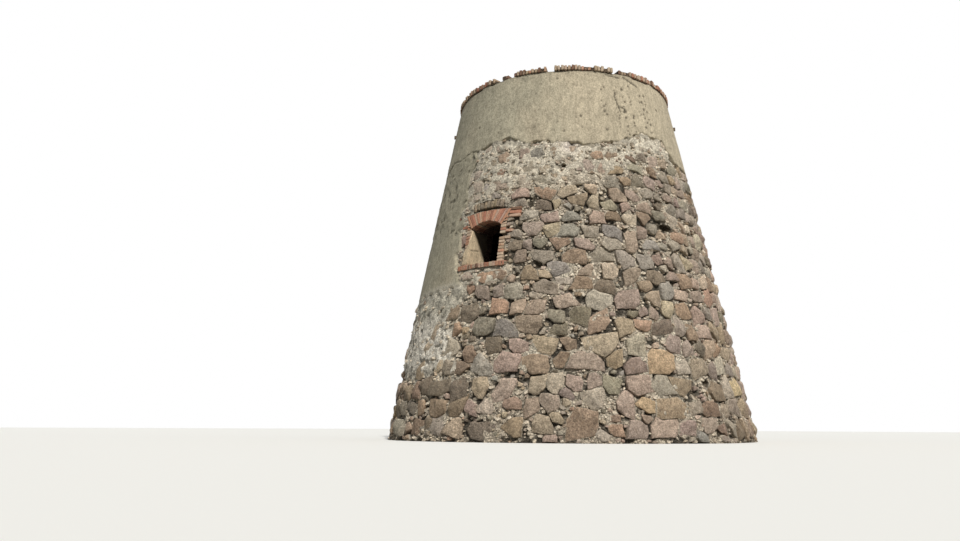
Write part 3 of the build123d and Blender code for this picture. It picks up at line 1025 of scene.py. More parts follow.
def cutters_for(lift, direction):
    """What is cut through a segment, as closed blocks."""
    made = []
    turned = direction == "back"
    beyond = BASE_RADIUS + 0.5
    if (lift, direction) in OUTLINES:
        half = OUTLINES[lift, direction]
        outline = half + [(-x, z) for x, z in half[-2::-1]]
        made.append(prism_cutter(outline, turned, 0.5, beyond))
    if lift == "middle" and direction in ("front", "back"):
        low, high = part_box(f"{direction}_window_sill")
        sill = [(high.x, low.z), (high.x, high.z), (low.x, high.z), (low.x, low.z)]
        made.append(prism_cutter(sill, turned, min(abs(low.y), abs(high.y)), beyond))
    if lift == "middle" and direction == "front":
        low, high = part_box("front_window_relieving_arch")
        foot, shoulder = low.z - 0.015, high.z - 0.05
        arch = [(high.x, foot), (high.x, shoulder), (0, high.z), (low.x, shoulder), (low.x, foot)]
        made.append(prism_cutter(arch, turned, 0.5, beyond))
    for hollow in HOLLOWS:
        if segment_of(math.radians(hollow[0]), hollow[1]) == (lift, direction):
            made.append(hollow_cutter(*hollow))
    return made


def cut(piece, cutters):
    """Takes the cutters out of a piece, and colours its mortar again by place."""
    for cutter in cutters:
        bpy.context.scene.collection.objects.link(cutter)
        change = piece.modifiers.new("cut", "BOOLEAN")
        change.operation = "DIFFERENCE"
        change.solver = "EXACT"
        change.object = cutter
    graph = bpy.context.evaluated_depsgraph_get()
    made = bpy.data.meshes.new_from_object(piece.evaluated_get(graph))
    piece.modifiers.clear()
    old = piece.data
    piece.data = made
    bpy.data.meshes.remove(old)
    for cutter in cutters:
        mesh = cutter.data
        bpy.data.objects.remove(cutter)
        bpy.data.meshes.remove(mesh)
    spots = np.zeros(len(made.vertices) * 3)
    made.vertices.foreach_get("co", spots)
    spots = spots.reshape(-1, 3)
    bearing = np.arctan2(spots[:, 0], -spots[:, 1])
    tints = bed_colour(bearing, spots[:, 2], spots)
    # Painted shade: the mortar is darker the deeper it lies behind the wall's face, in the hollows and the
    # cut openings.
    deep = smooth(outer_radius(spots[:, 2]) - np.hypot(spots[:, 0], spots[:, 1]), 0.05, 0.11)[:, None]
    tints = blended(tints, colour(100, 90, 74), deep)
    for name in ("tint", "smear"):
        made.attributes.remove(made.attributes[name])
    set_values(made, tints, covered(bearing, spots[:, 2], spots))


def segment_of(bearing, level):
    """The lift and the direction that a place on the wall belongs to."""
    direction = DIRECTIONS[int(((bearing + SEGMENT / 2) % FULL_TURN) // SEGMENT)]
    lift = LIFTS[int(level >= FIRST_LEVEL) + int(level >= SECOND_LEVEL)]
    return lift, direction


# How far the stones of each kind stand out of the mortar
PROUD = {LARGE: (0.048, 0.086), MEDIUM: (0.040, 0.074), SMALL: (0.030, 0.060)}


def fill_outer_face(loose):
    """The stones and chips of the outer face, given to their segments."""
    table, outlines, wall_map = lay_wall()
    chips = lay_chips(wall_map)
    bearing, level, half_width, half_height = table[:, :4].T
    covers = covered(bearing, level, place(bearing, level))
    beside = [coated(bearing + dx * half_width / outer_radius(level), level + dy * half_height)
              for dx, dy in ((0, 0), (1, 0), (-1, 0), (0, 1), (0, -1))]
    touching = np.max(beside, axis=0)
    buried = RNG.uniform(0, 1, len(table)) < 0.75 * limed(bearing, level, place(bearing, level))
    for index, (stone, (angles, reach)) in enumerate(zip(table, outlines)):
        if beside[0][index] or buried[index]:
            continue
        cover = covers[index]
        proud = RNG.uniform(*PROUD[int(stone[KIND])]) * (1 - 0.5 * cover) * (1 - 0.45 * touching[index])
        foot = STONE_FOOT + cover * (0.046 - RNG.uniform(0.0, 0.030))
        smear = 0.08 + 0.20 * cover + RNG.uniform(-0.08, 0.22)
        surface = on_wall(stone[0], stone[1], foot)
        add_stone(loose[segment_of(stone[0], stone[1])], stone, angles, reach, proud, smear, surface)
    chips = chips[coated(chips[:, 0], chips[:, 1]) == 0]
    for row, base in zip(chips, bed_out(chips[:, 0], chips[:, 1])):
        add_chip(loose[segment_of(row[0], row[1])], row[2], row[3:6], on_wall(row[0], row[1], base))


def loose_stone(half_width, half_height, kind, tint):
    """A stone that no neighbour shapes: its row and its outline."""
    sides = cut_sides(half_width, half_height, RNG.normal(0, 0.1))
    angles = rays_to_corners(RINGS[kind][0], *sides)
    reach = 1 / reach_of(np.cos(angles), np.sin(angles), *sides)
    return (0, 0, half_width, half_height, *tint, kind), angles, reach


def fill_inner_face(loose):
    """Stones in rough courses on the room side of the wall, clear of the openings."""
    for lift in LIFTS:
        foot, head = LEVELS[lift]
        kind = MEDIUM if lift == "upper" else SMALL
        for level in np.arange(foot + 0.17, head - 0.1, INNER_COURSE):
            radius = float(outer_radius(level)) - THICKNESS[lift]
            bearing = RNG.uniform(0, 0.2)
            while bearing < FULL_TURN:
                half = RNG.uniform(0.12, 0.24)
                centre = bearing + half / radius
                key = segment_of(centre, level)
                if clear_of_openings(key, centre, level, half, radius):
                    tint = stone_tint(math.pi, level) * 0.8
                    stone, angles, reach = loose_stone(half, RNG.uniform(0.11, 0.14), kind, tint)
                    surface = on_inner_wall(centre, level + RNG.normal(0, 0.01), lift)
                    add_stone(loose[key], stone, angles, reach, RNG.uniform(*INNER_PROUD), 0.25, surface)
                bearing += (2 * half + 0.03) / radius


def clear_of_openings(key, bearing, level, half, radius):
    """Whether a stone of the room side keeps off the brickwork of an opening."""
    if key not in OUTLINES:
        return True
    outline = OUTLINES[key]
    away = abs(wrapped(bearing - DIRECTIONS.index(key[1]) * SEGMENT)) * radius
    return away > outline[2][0] + half + 0.02 or level > outline[-1][1] + 0.35 or level < outline[0][1] - 0.18


def fill_head(loose):
    """Flat stones bedded in the wall's head, behind the crown of bricks."""
    inner = float(outer_radius(HEAD_LEVEL)) - THICKNESS["upper"]
    for radius in (CROWN_SEAT - 0.12, inner + 0.13):
        bearing = 0.0
        while bearing < FULL_TURN - 0.05:
            half = RNG.uniform(0.09, 0.17)
            centre = bearing + half / radius
            stone, angles, reach = loose_stone(half, RNG.uniform(0.07, 0.11), MEDIUM, stone_tint(2.0, 5.0))
            key = segment_of(centre, HEAD_LEVEL)
            add_stone(loose[key], stone, angles, reach, 0.02, 0.3, on_head(centre, radius))
            bearing += (2 * half + RNG.uniform(0.02, 0.08)) / radius


def build_walls(stone, mortar):
    """The 24 segments of the wall, each with its stones."""
    loose = {key: Mesh() for key in itertools.product(LIFTS, DIRECTIONS)}
    fill_outer_face(loose)
    fill_inner_face(loose)
    fill_head(loose)
    for lift, direction in loose:
        body = wall_block(lift, direction).build(f"{lift}_masonry_{direction}", [mortar, stone], SHARP_MORTAR)
        cutters = cutters_for(lift, direction)
        if cutters:
            cut(body, cutters)
        extra = loose[lift, direction].build("loose_stones", [mortar, stone], SHARP_STONE)
        with bpy.context.temp_override(active_object=body, selected_editable_objects=[body, extra]):
            bpy.ops.object.join()
        hand_over(body, "fieldstone", f"{lift}_wall_{direction}")


# Render

# Pits of the upper render and of the left patch: bearing from the camera in degrees, level, radius and depth
UPPER_PITS = [
    (8, 7.3, 0.035, 0.016), (-2.3, 8.32, 0.03, 0.016), (-43, 7.4, 0.03, 0.016), (52, 7.85, 0.04, 0.016),
    (0.5, 6.9, 0.03, 0.016),
]
PATCH_PITS = [
    (-50, 4.80, 0.045, 0.03), (-48.3, 4.81, 0.030, 0.03), (-46.5, 4.70, 0.045, 0.03),
    (-45, 4.78, 0.030, 0.03), (-43.5, 4.75, 0.050, 0.03), (-44, 6.60, 0.060, 0.03),
    (-47, 6.42, 0.035, 0.02), (-52, 5.6, 0.035, 0.02),
]
# Rows of pits one above another, by their bearing from the camera
PIT_ROWS = [19.5, 25.5, 29.5, 34.0, 41.0, 44.0]
# Cracks, from one bearing and level to another, with their width and depth
CRACKS = [
    (22, 8.47, 29, 8.43), (32, 8.47, 40, 8.30), (26.5, 7.62, 29.5, 7.60), (29.5, 7.60, 29.2, 7.50),
    (25, 7.9, 27, 7.5),
]
CRACK_SIZE = (0.021, 0.018)
FINE_PITS = 420

# How far each coat stands out of the wall, and how much a metre of pit darkens it
COAT_OUT, COAT_PIT_SHADE = 0.024, 38
PATCH_OUT, PATCH_PIT_SHADE = 0.022, 22


def pits():
    """The pits and cracks of the upper render: bearing from the camera, level, radius and depth."""
    made = list(UPPER_PITS)
    for seen in PIT_ROWS:
        for level in np.arange(6.95, 8.2, 0.085):
            if RNG.uniform() < 0.6:
                size = RNG.uniform(0.012, 0.038)
                made.append((seen + RNG.normal(0, 0.55), level + RNG.normal(0, 0.045), size, 0.018))
    for seen_0, level_0, seen_1, level_1 in CRACKS:
        for share in np.linspace(0, 1, 26):
            seen = seen_0 + share * (seen_1 - seen_0) + RNG.normal(0, 0.1)
            made.append((seen, level_0 + share * (level_1 - level_0) + RNG.normal(0, 0.006), *CRACK_SIZE))
    for _ in range(FINE_PITS):
        made.append((RNG.uniform(-180, 180), RNG.uniform(6.6, 8.5), RNG.uniform(0.012, 0.026), 0.010))
    return made


def pit_depth(bearing, level, listed):
    """How deep the render is pitted at each point of a grid."""
    depth = np.zeros_like(bearing)
    for seen, height, size, deep in listed:
        away = wrapped(bearing - math.radians(seen) - CAMERA_BEARING) * outer_radius(level)
        depth = np.maximum(depth, deep * (1 - smooth(np.hypot(away, level - height), size * 0.6, size * 1.3)))
    return depth


def build_upper_coat(plaster):
    """The coat under the crown, all round, with its ragged foot."""
    towards = np.linspace(-66, 82, 300, endpoint=False)
    away = np.linspace(82, 294, 220, endpoint=False)
    bearings = np.radians(np.concatenate([towards, away])) + CAMERA_BEARING
    edge = render_edge(bearings)
    head = HEAD_LEVEL - 0.004
    shares = np.concatenate([[0, 0.004, 0.010], np.linspace(0.022, 1, 60)])
    level = edge[None, :] + shares[:, None] * (head - edge[None, :])
    b = np.broadcast_to(bearings[None, :], level.shape)
    plain = place(b, level)
    above = level - edge[None, :]
    rim = smooth(above, 0.0, 0.03)
    wave = 0.005 * noise(plain, 0.6, 81) + 0.003 * noise(plain, 0.2, 82) + 0.0026 * noise(plain, 0.07, 83)
    wave = wave + 0.012 * (1 - smooth(above, 0.10, 0.40)) * noise(plain, 0.15, 84)
    lip = smooth(level, head - 0.06, head - 0.015) * smooth(noise(plain, 0.25, 85), -0.6, 0.3)
    low = bed_out(bearings, edge)
    depth = pit_depth(b, level, pits())
    front = place(b, level, low + 0.004 + (COAT_OUT - low) * rim + wave * rim - depth - 0.030 * lip)
    back = np.array([place(bearings, head, -0.04), place(bearings, edge + 0.02, np.minimum(low, 0.0) - 0.02)])
    # Painted shade: darker in the pits, along the ragged foot and in the recess under the crown.
    tone = (1 - COAT_PIT_SHADE * depth) * (0.90 + 0.10 * rim) * (1 - 0.5 * lip)
    tint = coat_colour(b, level, plain) * tone[..., None]
    shape = Mesh()
    add_sweep(shape, np.vstack([front, back]), np.vstack([tint, tint[-1:], tint[:1]]), closed=True)
    hand_over(shape.build("upper_render_coat", [plaster], SHARP_RENDER), "lime_render", "upper_render")


def build_left_coat(plaster):
    """The grey patch of render left of the window: smooth below, rough and pitted above, with ragged ends."""
    rows, columns = 112, 104
    left, right = patch_ends(np.linspace(COAT_FOOT, 6.7, rows))
    share = np.linspace(0, 1, columns)[None, :]
    up = np.linspace(0, 1, rows)[:, None]
    b = np.radians(left[:, None] + share * (right - left)[:, None]) + CAMERA_BEARING
    foot, top = patch_levels(b)
    level = foot + up * (top - foot)
    plain = place(b, level)
    rim = smooth(np.minimum(np.minimum(share, 1 - share) * columns, np.minimum(up, 1 - up) * rows), 0, 2.2)
    worn = smooth(level + 0.25 * layered(plain, 0.5, 97), 4.55, 5.0)
    wave = 0.005 * noise(plain, 0.5, 95) + 0.003 * noise(plain, 0.12, 96)
    coarse = 0.010 * noise(plain, 0.14, 98) + 0.007 * noise(plain, 0.07, 99)
    holes = smooth(layered(plain, 0.13, 94, 2), 0.45, 0.8) * worn
    low = np.minimum(bed_out(b, level), 0.02)
    depth = pit_depth(b, level, PATCH_PITS)
    out = PATCH_OUT + wave + coarse * worn - 0.022 * holes
    front = place(b, level, blended(low + 0.004, out, rim) - depth)
    # Painted shade in the holes of the rough part; the rough part is a little darker all over.
    tint = coat_colour(b, level, plain) * (1 - 0.45 * holes - 0.05 * worn)[..., None]
    tint = blended(tint, colour(228, 221, 205), 0.85 * hill(level, foot, 0.10)[..., None])
    shape = Mesh()
    # Painted shade in the pits.
    add_sheet(shape, front, place(b, level, -0.03), tint * (1 - PATCH_PIT_SHADE * depth)[..., None])
    hand_over(shape.build("left_render_coat", [plaster], SHARP_RENDER), "lime_render", "left_render")


# Brickwork

# The mortar behind an opening's bricks: where it starts, gets darker and ends, and the gap at each end of a
# brick, all as shares of the wall's depth
CORE_RECESS = 0.014
CORE_SPLIT = 0.24
CORE_END = 0.986
BRICK_GAP = 0.004

JAMB_TINTS = ("pink", "orange", "tan", "red", "orange", "pink")
ARCH_TINTS = ("orange", "red", "orange", "pink", "red")

# The course of a jamb that has lost its outermost brick
MISSING = {("front_window", "right"): 8}


def shade_inside(near):
    """How dark painted shade makes a brick of an opening that starts at a share of its depth."""
    return 1 - 0.90 * float(smooth(near, 0.08, 0.38))


def brick_tint(names=("red", "orange", "pink", "red", "dark")):
    """The colour of one brick."""
    return varied(BRICKS[names[RNG.integers(len(names))]], 0.14)


def wall_point(x, level, share, wall, proud=0.0):
    """A point of an opening: x along the wall, a level, and a share of the way through the wall."""
    lift, turned = wall
    radius = float(outer_radius(level))
    near = -math.sqrt((radius + proud) ** 2 - x**2)
    far = -math.sqrt((radius - THICKNESS[lift]) ** 2 - x**2)
    y = near + share * (far - near)
    return (-x, -y, level) if turned else (x, y, level)


def elevation_box(x0, x1, low, high):
    """A rectangle in elevation, as the foot and head of its two sides."""
    return [[(x0, low), (x0, high)], [(x1, low), (x1, high)]]


def add_opening_block(shape, quad, near, far, wall, tint, proud, bevel, *how):
    """One block of an opening, from its corners in elevation, quad[side][end], and its shares of depth."""
    corners = [[[wall_point(*quad[i][k], share, wall, proud if share == near else 0.0) for k in (0, 1)]
                for share in (near, far)] for i in (0, 1)]
    add_block(shape, corners, bevel, tint, *how)


def add_unit(shape, quad, near, far, wall, tint, proud, smear, jitter, bevel=0.007):
    """One brick or stone of an opening, with its mortar smear and the unevenness of its corners."""
    add_opening_block(shape, quad, near, far, wall, tint, proud, bevel, smear, 1, jitter)


def add_core(shape, quad, recess, wall, bevel):
    """The mortar behind the joints of an opening's bricks."""
    # Painted shade: the mortar is darker deeper in the opening.
    for near, far in ((recess, CORE_SPLIT), (CORE_SPLIT, CORE_END)):
        add_opening_block(shape, quad, near, far, wall, BRICK_MORTAR * shade_inside(near), 0.0, bevel)


def brick_bonds(inner, outer, course, deep):
    """The bricks of one course of a jamb: shares of depth, and distances from the middle of the opening."""
    if outer - inner < 0.2:
        shift = 0.5 / deep if course % 2 else 0.0
        edges = [0.0, *[(k + 1) / deep - shift for k in range(deep)]] + ([1.0] if shift else [])
        return [(a + BRICK_GAP, b - BRICK_GAP, inner, outer) for a, b in zip(edges[:-1], edges[1:])]
    if course % 2:
        middle = (inner + outer) / 2
        halves = [(inner, middle - JOINT / 2), (middle + JOINT / 2, outer)]
        shares = [(k / deep + BRICK_GAP, (k + 1) / deep - BRICK_GAP) for k in range(deep)]
        return [(*share, *half) for share in shares for half in halves]
    deep = 2 * deep
    return [(k / deep + BRICK_GAP, (k + 1) / deep - BRICK_GAP, inner, outer) for k in range(deep)]


def jamb_bricks(opening, side, wall, deep):
    """The bricks of one jamb in courses, and the mortar behind their joints."""
    low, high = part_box(f"{opening}_{side}_jamb")
    sign = 1 if side == "right" else -1
    inner, outer = sorted((abs(low.x), abs(high.x)))
    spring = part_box(f"{opening}_arch")[0].z
    slope = (high.z - spring) / (outer - inner)

    def course_quad(start, end, bottom, above):
        """A course's outline from start to end, cut by the slope that the arch stands on."""
        start = max(start, inner + (bottom + 0.012 - spring) / slope)
        tops = [(x, min(above, spring + (x - inner) * slope)) for x in (start, end)]
        return [[(sign * x, bottom), (sign * x, top)] for x, top in tops]

    shape = Mesh()
    courses = int(round((high.z - low.z) / COURSE))
    tall = (high.z - low.z) / courses
    for course in range(courses):
        bottom = low.z + course * tall
        missing = MISSING.get((opening, side)) == course
        core = course_quad(inner + 0.012, outer, bottom, bottom + tall)
        add_core(shape, core, 0.13 if missing else CORE_RECESS, wall, 0.001)
        for near, far, start, end in brick_bonds(inner, outer, course, deep):
            if missing and near < 0.01:
                continue
            jut = RNG.uniform(-0.004, 0.004) if start == inner else 0.0
            quad = course_quad(start - jut, end, bottom + JOINT / 2, bottom + tall - JOINT / 2)
            if abs(quad[1][0][0] - quad[0][0][0]) > 0.03:
                # Painted shade: bricks deeper in the opening are darker.
                dark = shade_inside(near)
                tint = brick_tint(JAMB_TINTS) * dark
                smear = RNG.uniform(0.15, 0.6) * dark
                proud = RNG.uniform(0, 0.008)
                add_unit(shape, quad, near, far, wall, tint, proud, smear, 0.0022)
    return shape


def arch_bricks(opening, wall, deep, camber, rise, count):
    """An arch of bricks that stand and fan out, and the mortar behind their joints."""
    low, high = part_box(f"{opening}_arch")
    half = min(abs(end.x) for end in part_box(f"{opening}_left_jamb"))

    def elevation(share, up):
        """A place in the arch: a share of its width, and a share of its height from the soffit."""
        x = 2 * share - 1
        foot = (half * x, low.z + rise * (1 - x * x))
        head = (high.x * x, high.z - camber * x * x)
        return tuple(f + up * (h - f) for f, h in zip(foot, head))

    def sector(a, b, foot, head):
        """The outline of what stands between two shares of the arch's width."""
        return [[elevation(share, foot), elevation(share, head)] for share in (a, b)]

    shape = Mesh()
    gap = 0.055 / count
    for k in range(count):
        a, b = k / count, (k + 1) / count
        add_core(shape, sector(a, b, 0.05, 1.0), CORE_RECESS, wall, 0.0005)
        quad = sector(a + gap, b - gap, RNG.uniform(-0.03, 0.04), 0.985)
        for d in range(deep):
            # Painted shade: bricks deeper in the opening are darker.
            dark = shade_inside(d / deep)
            tint = brick_tint(ARCH_TINTS) * dark
            proud = RNG.uniform(0, 0.012)
            smear = RNG.uniform(0.05, 0.45) * dark
            near, far = d / deep + BRICK_GAP, (d + 1) / deep - BRICK_GAP
            add_unit(shape, quad, near, far, wall, tint, proud, smear, 0.002)
    return shape


def sill_bricks(sill, turned):
    """The bricks on edge of a sill, which juts out of the wall and slopes outwards."""
    low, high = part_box(sill)
    back, reach = sorted((abs(low.y), abs(high.y)))
    fall = 0.03
    count = int(round((high.x - low.x) / BRICK_PITCH))
    pitch = (high.x - low.x) / count
    side = -1 if turned else 1

    def corners(x0, x1, bottom, jut, lift):
        """A block of the sill from end to end, moved out by jut, with its top moved up by lift."""
        made = []
        for x in (x0, x1):
            edges = ((math.sqrt(reach**2 - x**2) + jut, high.z - fall + lift), (back, high.z + lift))
            made.append([[(side * x, -side * y, z) for z in (bottom, top)] for y, top in edges])
        return made

    shape = Mesh()
    for k in range(count):
        x = low.x + k * pitch
        add_block(shape, corners(x, x + pitch, low.z, -0.012, -0.012), 0.001, BRICK_MORTAR)
        jut, lift = RNG.uniform(-0.010, 0.006), RNG.uniform(-0.004, 0.003)
        brick = corners(x + JOINT / 2, x + pitch - JOINT / 2, low.z + 0.001, jut, lift)
        add_block(shape, brick, 0.008, brick_tint(), RNG.uniform(0.05, 0.5), 1, 0.0022)
    return shape


def build_openings(brick, mortar):
    """The sills, jambs and arches of the two windows and the doorway, brick by brick."""
    def finish(shape, node):
        """Makes the piece that stands for a node."""
        hand_over(shape.build(f"{node}_bricks", [mortar, brick], SHARP_EDGE), "red_brick", node)

    for opening, (wall, deep, camber, rise, count) in OPENINGS.items():
        for side in ("left", "right"):
            finish(jamb_bricks(opening, side, wall, deep), f"{opening}_{side}_jamb")
        finish(arch_bricks(opening, wall, deep, camber, rise, count), f"{opening}_arch")
        if opening != "doorway":
            finish(sill_bricks(f"{opening}_sill", wall[1]), f"{opening}_sill")


def build_relieving_arch(mortar, stone):
    """The rough upright stones over the front window's arch."""
    low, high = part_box("front_window_relieving_arch")
    shape = Mesh()
    count, fall = 9, 0.05
    edges = np.linspace(low.x, high.x, count + 1)
    edges[1:-1] += RNG.normal(0, 0.008, count - 1)
    core = elevation_box(low.x, high.x, low.z - 0.014, high.z - fall)
    add_opening_block(shape, core, 0.10, 0.99, FRONT, colour(120, 110, 92), 0.0, 0.001)
    for x0, x1 in zip(edges[:-1], edges[1:]):
        middle = (x0 + x1) / 2 / high.x
        foot = low.z + fall * (1 - middle**2)
        head = high.z - fall * middle**2 - RNG.uniform(0.0, 0.035)
        quad = [[(0.92 * x + gap, foot), (x + gap, head)] for x, gap in ((x0, 0.006), (x1, -0.006))]
        tint = varied(STONE[("dark", "green", "dark", "brown")[RNG.integers(4)]], 0.15)
        proud = RNG.uniform(-0.012, 0.035)
        add_unit(shape, quad, 0.0, 0.3, FRONT, tint, proud, 0.15, 0.007, 0.018)
    piece = shape.build("front_window_relieving_stones", [mortar, stone], SHARP_EDGE)
    hand_over(piece, "grey_stone", "front_window_relieving_arch")


def build_threshold(mortar, stone):
    """The doorway's step: worn slabs side by side."""
    low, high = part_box("doorway_threshold")
    shape = Mesh()
    edges = [low.x, low.x + 0.42, low.x + 0.78, high.x]
    for x0, x1 in zip(edges[:-1], edges[1:]):
        quad = elevation_box(x0 + 0.004, x1 - 0.004, GROUND, high.z)
        for near, far in ((0.0, 0.46), (0.47, 1.0)):
            add_unit(shape, quad, near, far, BACK_FOOT, varied(STONE["grey"]), 0.0, 0.1, 0.003, 0.012)
    piece = shape.build("doorway_threshold_slabs", [mortar, stone], SHARP_EDGE)
    hand_over(piece, "grey_stone", "doorway_threshold")


def build_stray_bricks(brick, mortar):
    """The flat bricks that are built into the wall beside the front window."""
    shape = Mesh()
    half = (COURSE - 0.009) / 2
    for x0, x1, level in STRAY_BRICKS:
        quad = elevation_box(x0, x1, level - half, level + half)
        tint = brick_tint()
        proud = RNG.uniform(0.012, 0.024)
        add_unit(shape, quad, 0.0, 0.14, FRONT, tint, proud, RNG.uniform(0.1, 0.5), 0.004)
    hand_over(shape.build("front_window_stray_bricks", [mortar, brick], SHARP_EDGE), "red_brick")


def build_reveal_render(plaster):
    """The thin render that still covers the foot of the left jamb, and turns the corner into its reveal."""
    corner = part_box("front_window_left_jamb")[1].x
    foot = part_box("front_window_sill")[1].z
    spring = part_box("front_window_arch")[0].z
    turn, end, sheet = 0.15, 0.80, 0.02
    lengths = np.concatenate([np.linspace(0, turn, 8), np.linspace(turn + 0.02, end, 24)])
    rough = np.stack([lengths * 3, lengths, lengths], axis=1)
    top = np.interp(lengths, [0, 0.10, 0.16, 0.20], [4.20, 4.30, 4.50, spring - 0.015])
    top = top + 0.05 * layered(rough, 0.3, 97)
    share = np.linspace(0, 1, 34)[:, None]
    level = foot + 0.002 + share * (np.minimum(top, spring - 0.012) - foot)[None, :]
    length = np.broadcast_to(lengths[None, :], level.shape)
    spots = np.stack([length, level, 0 * level], axis=-1)
    deep = np.maximum(length - turn, 0) * (1 + 0.07 * layered(np.stack([level] * 3, axis=-1), 0.3, 98))
    rim = np.minimum(np.minimum(length, end - length), (top - foot) * np.minimum(share, 1 - share)) / 0.03
    crack = hill(level, 4.23 + 0.12 * (length - 0.3), 0.012) * (length > 0.2) * (length < 0.5)
    thick = 0.003 + 0.011 * smooth(rim, 0, 1) + 0.003 * layered(spots, 0.15, 99) - 0.010 * crack
    inside = length > turn - 0.01
    x = corner - np.maximum(turn - length, 0) + np.where(inside, thick, 0.0)
    face = -np.sqrt(outer_radius(level) ** 2 - np.minimum(x, corner) ** 2)
    y = face + deep - np.where(length < turn + 0.01, thick, 0.0)
    front = np.stack([x, y, level], axis=-1)
    back = np.stack([x - np.where(inside, sheet, 0.0), y + np.where(inside, 0.0, sheet), level], axis=-1)
    # Painted shadow: beyond a slanting line the reveal is dark, where the arch and the right jamb cast their
    # shadow; the crack is darkened with painted shade.
    painted_shadow = 0.88 * smooth(deep - 0.75 * (spring - level), 0.0, 0.14)
    tone = (1 + 0.08 * layered(spots, 0.2, 100) - 0.75 * crack) * (1 - painted_shadow)
    shape = Mesh()
    add_sheet(shape, front, back, colour(206, 187, 158) * tone[..., None])
    hand_over(shape.build("front_window_reveal_render", [plaster], SHARP_RENDER), "lime_render")


def build_crown(brick, mortar):
    """The broken ring of bricks on edge, run by run."""
    shape = Mesh()
    starts = [end for _, end in CROWN_GAPS]
    ends = [start for start, _ in CROWN_GAPS[1:]] + [CROWN_GAPS[0][0] + 360]
    low, high = HEAD_LEVEL + 0.003, CROWN_LEVEL - 0.035
    outer, inner = CROWN_RADIUS - 0.030, CROWN_SEAT + 0.015
    for first, last in zip(np.radians(starts), np.radians(ends)):
        count = max(1, int(round((last - first) * CROWN_RADIUS / BRICK_PITCH)))
        bearings = np.linspace(first + 0.003, last - 0.003, 2 * count + 1)
        rows = []
        for radius, level in ((outer, low), (outer, high), (inner, high), (inner, low)):
            points = around(bearings, radius, level)
            points[:, 2] += 0.006 * noise(points, 0.06, 101) * (level == high)
            rows.append(points)
        add_sweep(shape, np.array(rows), colour(116, 100, 84))
        for k in range(count):
            start, end = (first + (last - first) * share / count for share in (k, k + 1))
            add_crown_brick(shape, start, end)
    hand_over(shape.build("crown_bricks", [mortar, brick], SHARP_EDGE), "crown_brick", "brick_crown")


def add_crown_brick(shape, start, end):
    """One brick on edge of the crown, a little askew, some of them broken."""
    gap = 0.7 * JOINT / CROWN_RADIUS
    broken = RNG.uniform() < 0.30
    top = CROWN_LEVEL - (RNG.uniform(0.02, 0.05) if broken else RNG.uniform(-0.010, 0.012))
    outer = CROWN_RADIUS - (RNG.uniform(0.0, 0.04) if broken else RNG.uniform(-0.006, 0.016))
    lean = RNG.normal(0, 0.0035)
    corners = []
    for bearing in (start + gap, end - gap):
        rows = []
        for radius in (outer, CROWN_SEAT + RNG.uniform(0, 0.012)):
            foot = around(bearing, radius, HEAD_LEVEL + 0.001)
            rows.append([foot, around(bearing + lean, radius, top + RNG.normal(0, 0.005))])
        corners.append(rows)
    # Painted shade and light: darker bricks are picked on the side away from the sun, paler ones where the
    # crown faces it.
    seen = from_camera(start)
    names = ("red", "dark", "orange", "pink")
    if -90 < seen <= -20:
        names = ("dark", "red", "dark", "tan")
    elif -20 < seen < 34:
        names = ("tan", "pink", "orange", "tan", "dark")
    add_block(shape, corners, RNG.uniform(0.007, 0.014), brick_tint(names), RNG.uniform(0.1, 0.6), 1, 0.003)


# Timber

PLANK_WIDTH = (0.16, 0.24)


def build_floor_boards(wood):
    """The planks of each floor, laid across its joists."""
    for floor in ("first", "second"):
        low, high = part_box(f"{floor}_floor_boards")
        radius = high.x
        shape = Mesh()
        x = -radius + 0.05
        while x < radius - 0.05:
            end = min(x + RNG.uniform(*PLANK_WIDTH), radius - 0.03)
            corners = []
            for edge in (x + 0.003, end - 0.003):
                half = math.sqrt(radius**2 - edge**2) - RNG.uniform(0.004, 0.02)
                corners.append([[(edge, y, low.z + 0.001), (edge, y, high.z)] for y in (-half, half)])
            add_block(shape, corners, 0.004, varied(colour(122, 106, 88), 0.18), jitter=0.0008)
            x = end
        piece = shape.build(f"{floor}_floor_planks", [wood], SHARP_EDGE)
        hand_over(piece, "old_timber", f"{floor}_floor_boards")


def paint(node, material):
    """Gives a CAD node that still shows its material."""
    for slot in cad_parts[node].material_slots:
        slot.material = material


# Materials


